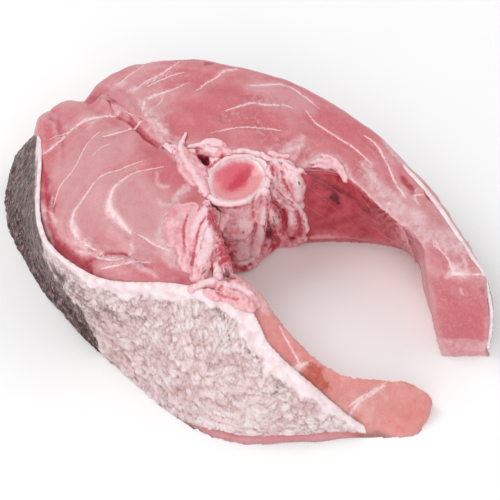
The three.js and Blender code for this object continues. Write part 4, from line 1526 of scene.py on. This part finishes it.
# %% Strands of tissue
def strand(name, finish, strokes, voxel, flow, fold, rags, seed):
    """Balls along the strokes, fused into one body, with folds along flow and fine rags, both in mm."""
    bpy.ops.object.select_all(action="DESELECT")
    for knots in strokes:
        laid = [(*landed(x, y, min(lift, 0.35 - 0.5 * radius)), radius) for x, y, lift, radius in knots]
        for x, y, z, radius in smooth_path(laid, 0.8 * min(knot[-1] for knot in knots)):
            spot = to_frame((x, y, max(z, radius * 0.7)))
            bpy.ops.mesh.primitive_ico_sphere_add(subdivisions=2, radius=radius * MM, location=spot)
            # The first ball becomes the piece, and in its edit mode all others join its mesh.
            if bpy.context.mode == "OBJECT":
                piece = bpy.context.object
                piece.name = name
                bpy.ops.object.transform_apply(location=True, rotation=True, scale=True)
                bpy.ops.object.mode_set(mode="EDIT")
    bpy.ops.object.mode_set(mode="OBJECT")
    even_skin(piece, voxel, 12)
    points, facing = shape_of(piece)
    relief = wrinkles_at(points, flow, 3.2, seed) + wrinkles_at(points, flow, 1.5, seed + 1) * 0.4
    relief = relief * fold + noise_at(points, 2.6, seed + 2) * rags
    relief *= soft_step(points[:, 2], 0.4, 2.0)
    move_points(piece, points + facing * relief[:, None])
    dress(piece)
    write(piece, rise=[off_carriers(point) for point in vectors_of(piece, "co")])
    hand_over(piece, finish)


# %% Finishes of the tissue
HEM_PINK = colour(212, 130, 139)
HEM_RED = colour(194, 88, 102)
white_finish = tissue_paint("white_membrane", colour(236, 190, 196), colour(222, 146, 156), thin=HEM_PINK)
fat_finish = tissue_paint("pale_fat", colour(232, 176, 182), colour(220, 142, 151), thin=HEM_PINK)
pink_finish = tissue_paint("pink_tissue", colour(222, 146, 154), colour(194, 88, 102), thin=HEM_RED)
print("finishes:", white_finish.name, fat_finish.name, pink_finish.name)

# %% [markdown]
# ## Fat beside the backbone
# On the near loin three ridges of pale fat run down from the backbone to the belly, the outer ones narrow,
# the inner one broad and folded. They lie in the slope that was pressed into the flesh.

# %% Ridges of fat
FAT_RIDGES = [
    [(179, 212, -2.6, 3.6), (173, 222, -2.8, 4.2), (171, 234, -3.2, 4.4), (172, 246, -3.6, 4.2)],
    [(191, 210, -2.4, 3.4), (187, 224, -2.8, 4.2), (185, 240, -3.2, 4.6), (184, 256, -3.6, 4.4),
     (186, 270, -3.4, 3.8)],
    [(207, 208, -0.8, 2), (203, 216, -1, 2.8), (200, 226, -1.6, 3.4)],
    [(206, 222, -0.8, 2.8), (208, 232, -0.8, 3.8), (207, 244, -0.8, 4.6), (205, 256, -1, 4.6),
     (201, 268, -1.4, 4), (197, 279, -1.6, 3.2)],
    [(212, 258, -0.8, 2.8), (216, 268, -0.6, 2.8), (218, 279, -0.6, 2.4)],
    [(196, 228, -1.4, 2.8), (196, 240, -1.8, 3.2), (195, 252, -1.8, 3)],
]
strand("fat_ridges", fat_finish, FAT_RIDGES, 0.55, (-0.8, -0.6, 0), 0.4, 0.3, 31)

# %% [markdown]
# Where the near flap begins, its membrane is folded back over the flesh, white on top and red below.

# %% The fold at the root of the near flap
ROOT_FOLD = [
    [(192, 289, -0.6, 1.8), (202, 286, -0.6, 2.4), (212, 284, -0.6, 2.4)],
    [(221, 289, -0.8, 2.8), (231, 288, -0.6, 3.4), (241, 291, -0.6, 3.6), (249, 298, -0.8, 3.2),
     (254, 306, -1, 2.4)],
    [(228, 296, -1, 3), (239, 301, -1, 3.2), (249, 308, -1, 2.6)],
    [(208, 293, -1, 2), (218, 297, -1, 2.4)],
]
strand("flap_root_fold", fat_finish, ROOT_FOLD, 0.5, (-0.6, -0.8, 0), 0.3, 0.3, 34)

# %% [markdown]
# ## Gristle on the arch
# Torn gristle stands on the bone's arch: a pale lump on its far side, and at its end a thin shred that the
# knife pulled over. A strand of the same runs from the rim to the right, and soft pink tissue fills the
# seams on both sides of the bone.

# %% Lump, shred, strand and seams
ARCH_LUMP = [
    [(203, 146, -0.6, 2.2), (210, 145, -0.4, 3), (217, 147, -0.4, 3.2), (224, 151, -0.6, 2.6),
     (229, 154, -0.8, 1.8)],
    [(208, 152, -0.8, 2.4), (216, 154, -0.8, 2.6)],
    [(188, 147, 0, 0.9), (196, 146, 0.1, 1.2), (203, 145, 0.1, 1.6)],
]
ARCH_SHRED = [
    [(186, 132, 0.6, 0.4), (184, 137, 0.5, 0.8), (181, 144, 0.2, 1.3), (181, 151, -0.6, 2)],
    [(182, 151, -0.8, 2.2), (185, 158, -1.2, 2.8), (190, 167, -1.6, 3.4), (196, 176, -1.6, 3.4),
     (201, 185, -1.4, 3), (205, 194, -1, 2.2)],
    [(190, 156, -1.2, 2), (197, 166, -1.6, 2.6), (203, 176, -1.8, 2.6)],
    [(177, 154, -1.6, 2.4), (182, 164, -2.2, 3.4), (188, 174, -2.4, 3.8), (195, 184, -2.2, 3.4)],
]
RIM_STRAND = [
    [(262, 156, -0.4, 1.6), (267, 159, 0, 1.4), (275, 160, 0.3, 1.1), (284, 161, 0.2, 0.9),
     (294, 165, 0, 0.7)],
    [(227, 154, -0.8, 1.3), (236, 152, -0.8, 1.4), (247, 152, -0.8, 1.4), (257, 155, -0.8, 1.5)],
    [(270, 153, -0.8, 1.4), (278, 156, -0.6, 1.5), (287, 157, -0.6, 1.2)],
]
SEAM_TISSUE = [
    [(270, 164, -1, 1.8), (272, 175, -1.4, 2.4), (271, 188, -1.6, 2.6), (270, 202, -1.6, 2.6),
     (269, 216, -1.6, 2.6), (268, 230, -1.4, 2.6), (267, 242, -1.2, 2.2)],
    [(206, 204, -1.2, 2), (209, 214, -1.4, 2.6), (212, 226, -1.4, 2.6), (216, 238, -1.2, 2.4)],
]
strand("arch_lump", fat_finish, ARCH_LUMP, 0.42, (0.6, -0.8, 0), 0.3, 0.35, 33)
strand("arch_shred", fat_finish, ARCH_SHRED, 0.42, (0.4, -1, 0), 0.3, 0.3, 35)
strand("rim_strand", white_finish, RIM_STRAND, 0.35, (0.7, -0.7, 0), 0.2, 0.25, 37)
strand("seam_tissue", pink_finish, SEAM_TISSUE, 0.5, (-0.2, -0.2, -1), 0.3, 0.3, 43)

# %% [markdown]
# ## Membranes beside the backbone
# To the right of the vertebra hang the folded remains of the belly membrane, whitish, one fold over the next,
# with redder lobes below them, and a torn leaf lies over the edge of the wall.

# %% The folded mass
WALL_FOLDS = [
    [(276, 167, -0.8, 2.6), (280, 177, -0.8, 3.4), (285, 187, -0.8, 3.8), (291, 197, -1, 3.4),
     (298, 204, -1.2, 2.6)],
    [(287, 168, -0.8, 2.8), (293, 177, -0.6, 3.6), (297, 187, -0.6, 3.8), (297, 196, -0.8, 3.2)],
    [(273, 184, -1, 2.2), (276, 194, -1, 2.6), (284, 202, -1, 2.4), (292, 207, -1, 2)],
    [(300, 170, -0.6, 1.2), (306, 174, -0.4, 0.8)],
]
WALL_LOBES = [
    [(273, 208, -1, 2.8), (276, 219, -1, 3.4), (277, 230, -1.2, 3.2)],
    [(288, 208, -1, 3), (292, 219, -0.8, 3.4), (294, 230, -1.2, 3)],
    [(270, 238, -1.2, 3), (280, 242, -1.2, 3), (292, 241, -1.2, 3), (302, 237, -1.2, 2.4)],
    [(283, 222, -1.8, 3), (284, 234, -1.6, 3)],
    [(297, 206, -0.8, 2), (302, 217, -1, 2.2), (304, 229, -1.2, 2.2)],
]
strand("wall_folds", white_finish, WALL_FOLDS, 0.48, (-0.35, -0.45, -0.85), 0.35, 0.3, 39)
strand("wall_lobes", pink_finish, WALL_LOBES, 0.52, (-0.2, -0.4, -0.9), 0.3, 0.35, 41)

# %% The torn leaf
LEAF = [
    [(307, 163, 0.2, 0.4), (314, 162, 0.3, 0.8), (321, 161, 0.2, 1.3), (328, 162, 0, 1.7),
     (335, 166, -0.4, 1.8), (341, 172, -0.6, 1.5), (346, 180, -0.8, 1.2)],
    [(322, 155, 0.2, 0.5), (328, 157, 0.2, 1), (334, 161, 0, 1.5), (341, 168, -0.4, 1.4)],
    [(312, 167, 0, 0.5), (320, 166, -0.2, 1), (328, 168, -0.6, 1.4)],
]
strand("torn_leaf", white_finish, LEAF, 0.36, (0.6, -0.5, 0), 0.2, 0.25, 47)

# %% [markdown]
# ## Below the rim
# A pale strap of gristle runs down the front of both vertebrae, and soft red tissue fills the gap between
# them and hangs below, down to the board.

# %% Strap and fringe
STRAP = [
    [(265, 192, -1, 2), (264, 200, -0.8, 2.6), (262, 212, -0.8, 2.8), (260, 226, -0.8, 2.8),
     (257, 240, -0.8, 2.8), (255, 252, -0.8, 2.6)],
]
FRINGE = [
    [(216, 240, -0.8, 2.6), (219, 251, -0.8, 3.4), (223, 262, -0.8, 3.2), (226, 272, -0.8, 2.6)],
    [(228, 262, -0.8, 2.8), (237, 266, -0.6, 3), (246, 267, -0.4, 2.8), (252, 262, -0.4, 2.2)],
    [(258, 256, -0.6, 2.4), (266, 249, -0.6, 2.4), (275, 247, -0.6, 2.2)],
]
strand("gristle_strap", bone_finish, STRAP, 0.45, (-0.2, -0.1, -1), 0.2, 0.25, 51)
strand("lower_fringe", pink_finish, FRINGE, 0.5, (1, -0.3, 0.1), 0.4, 0.5, 53)
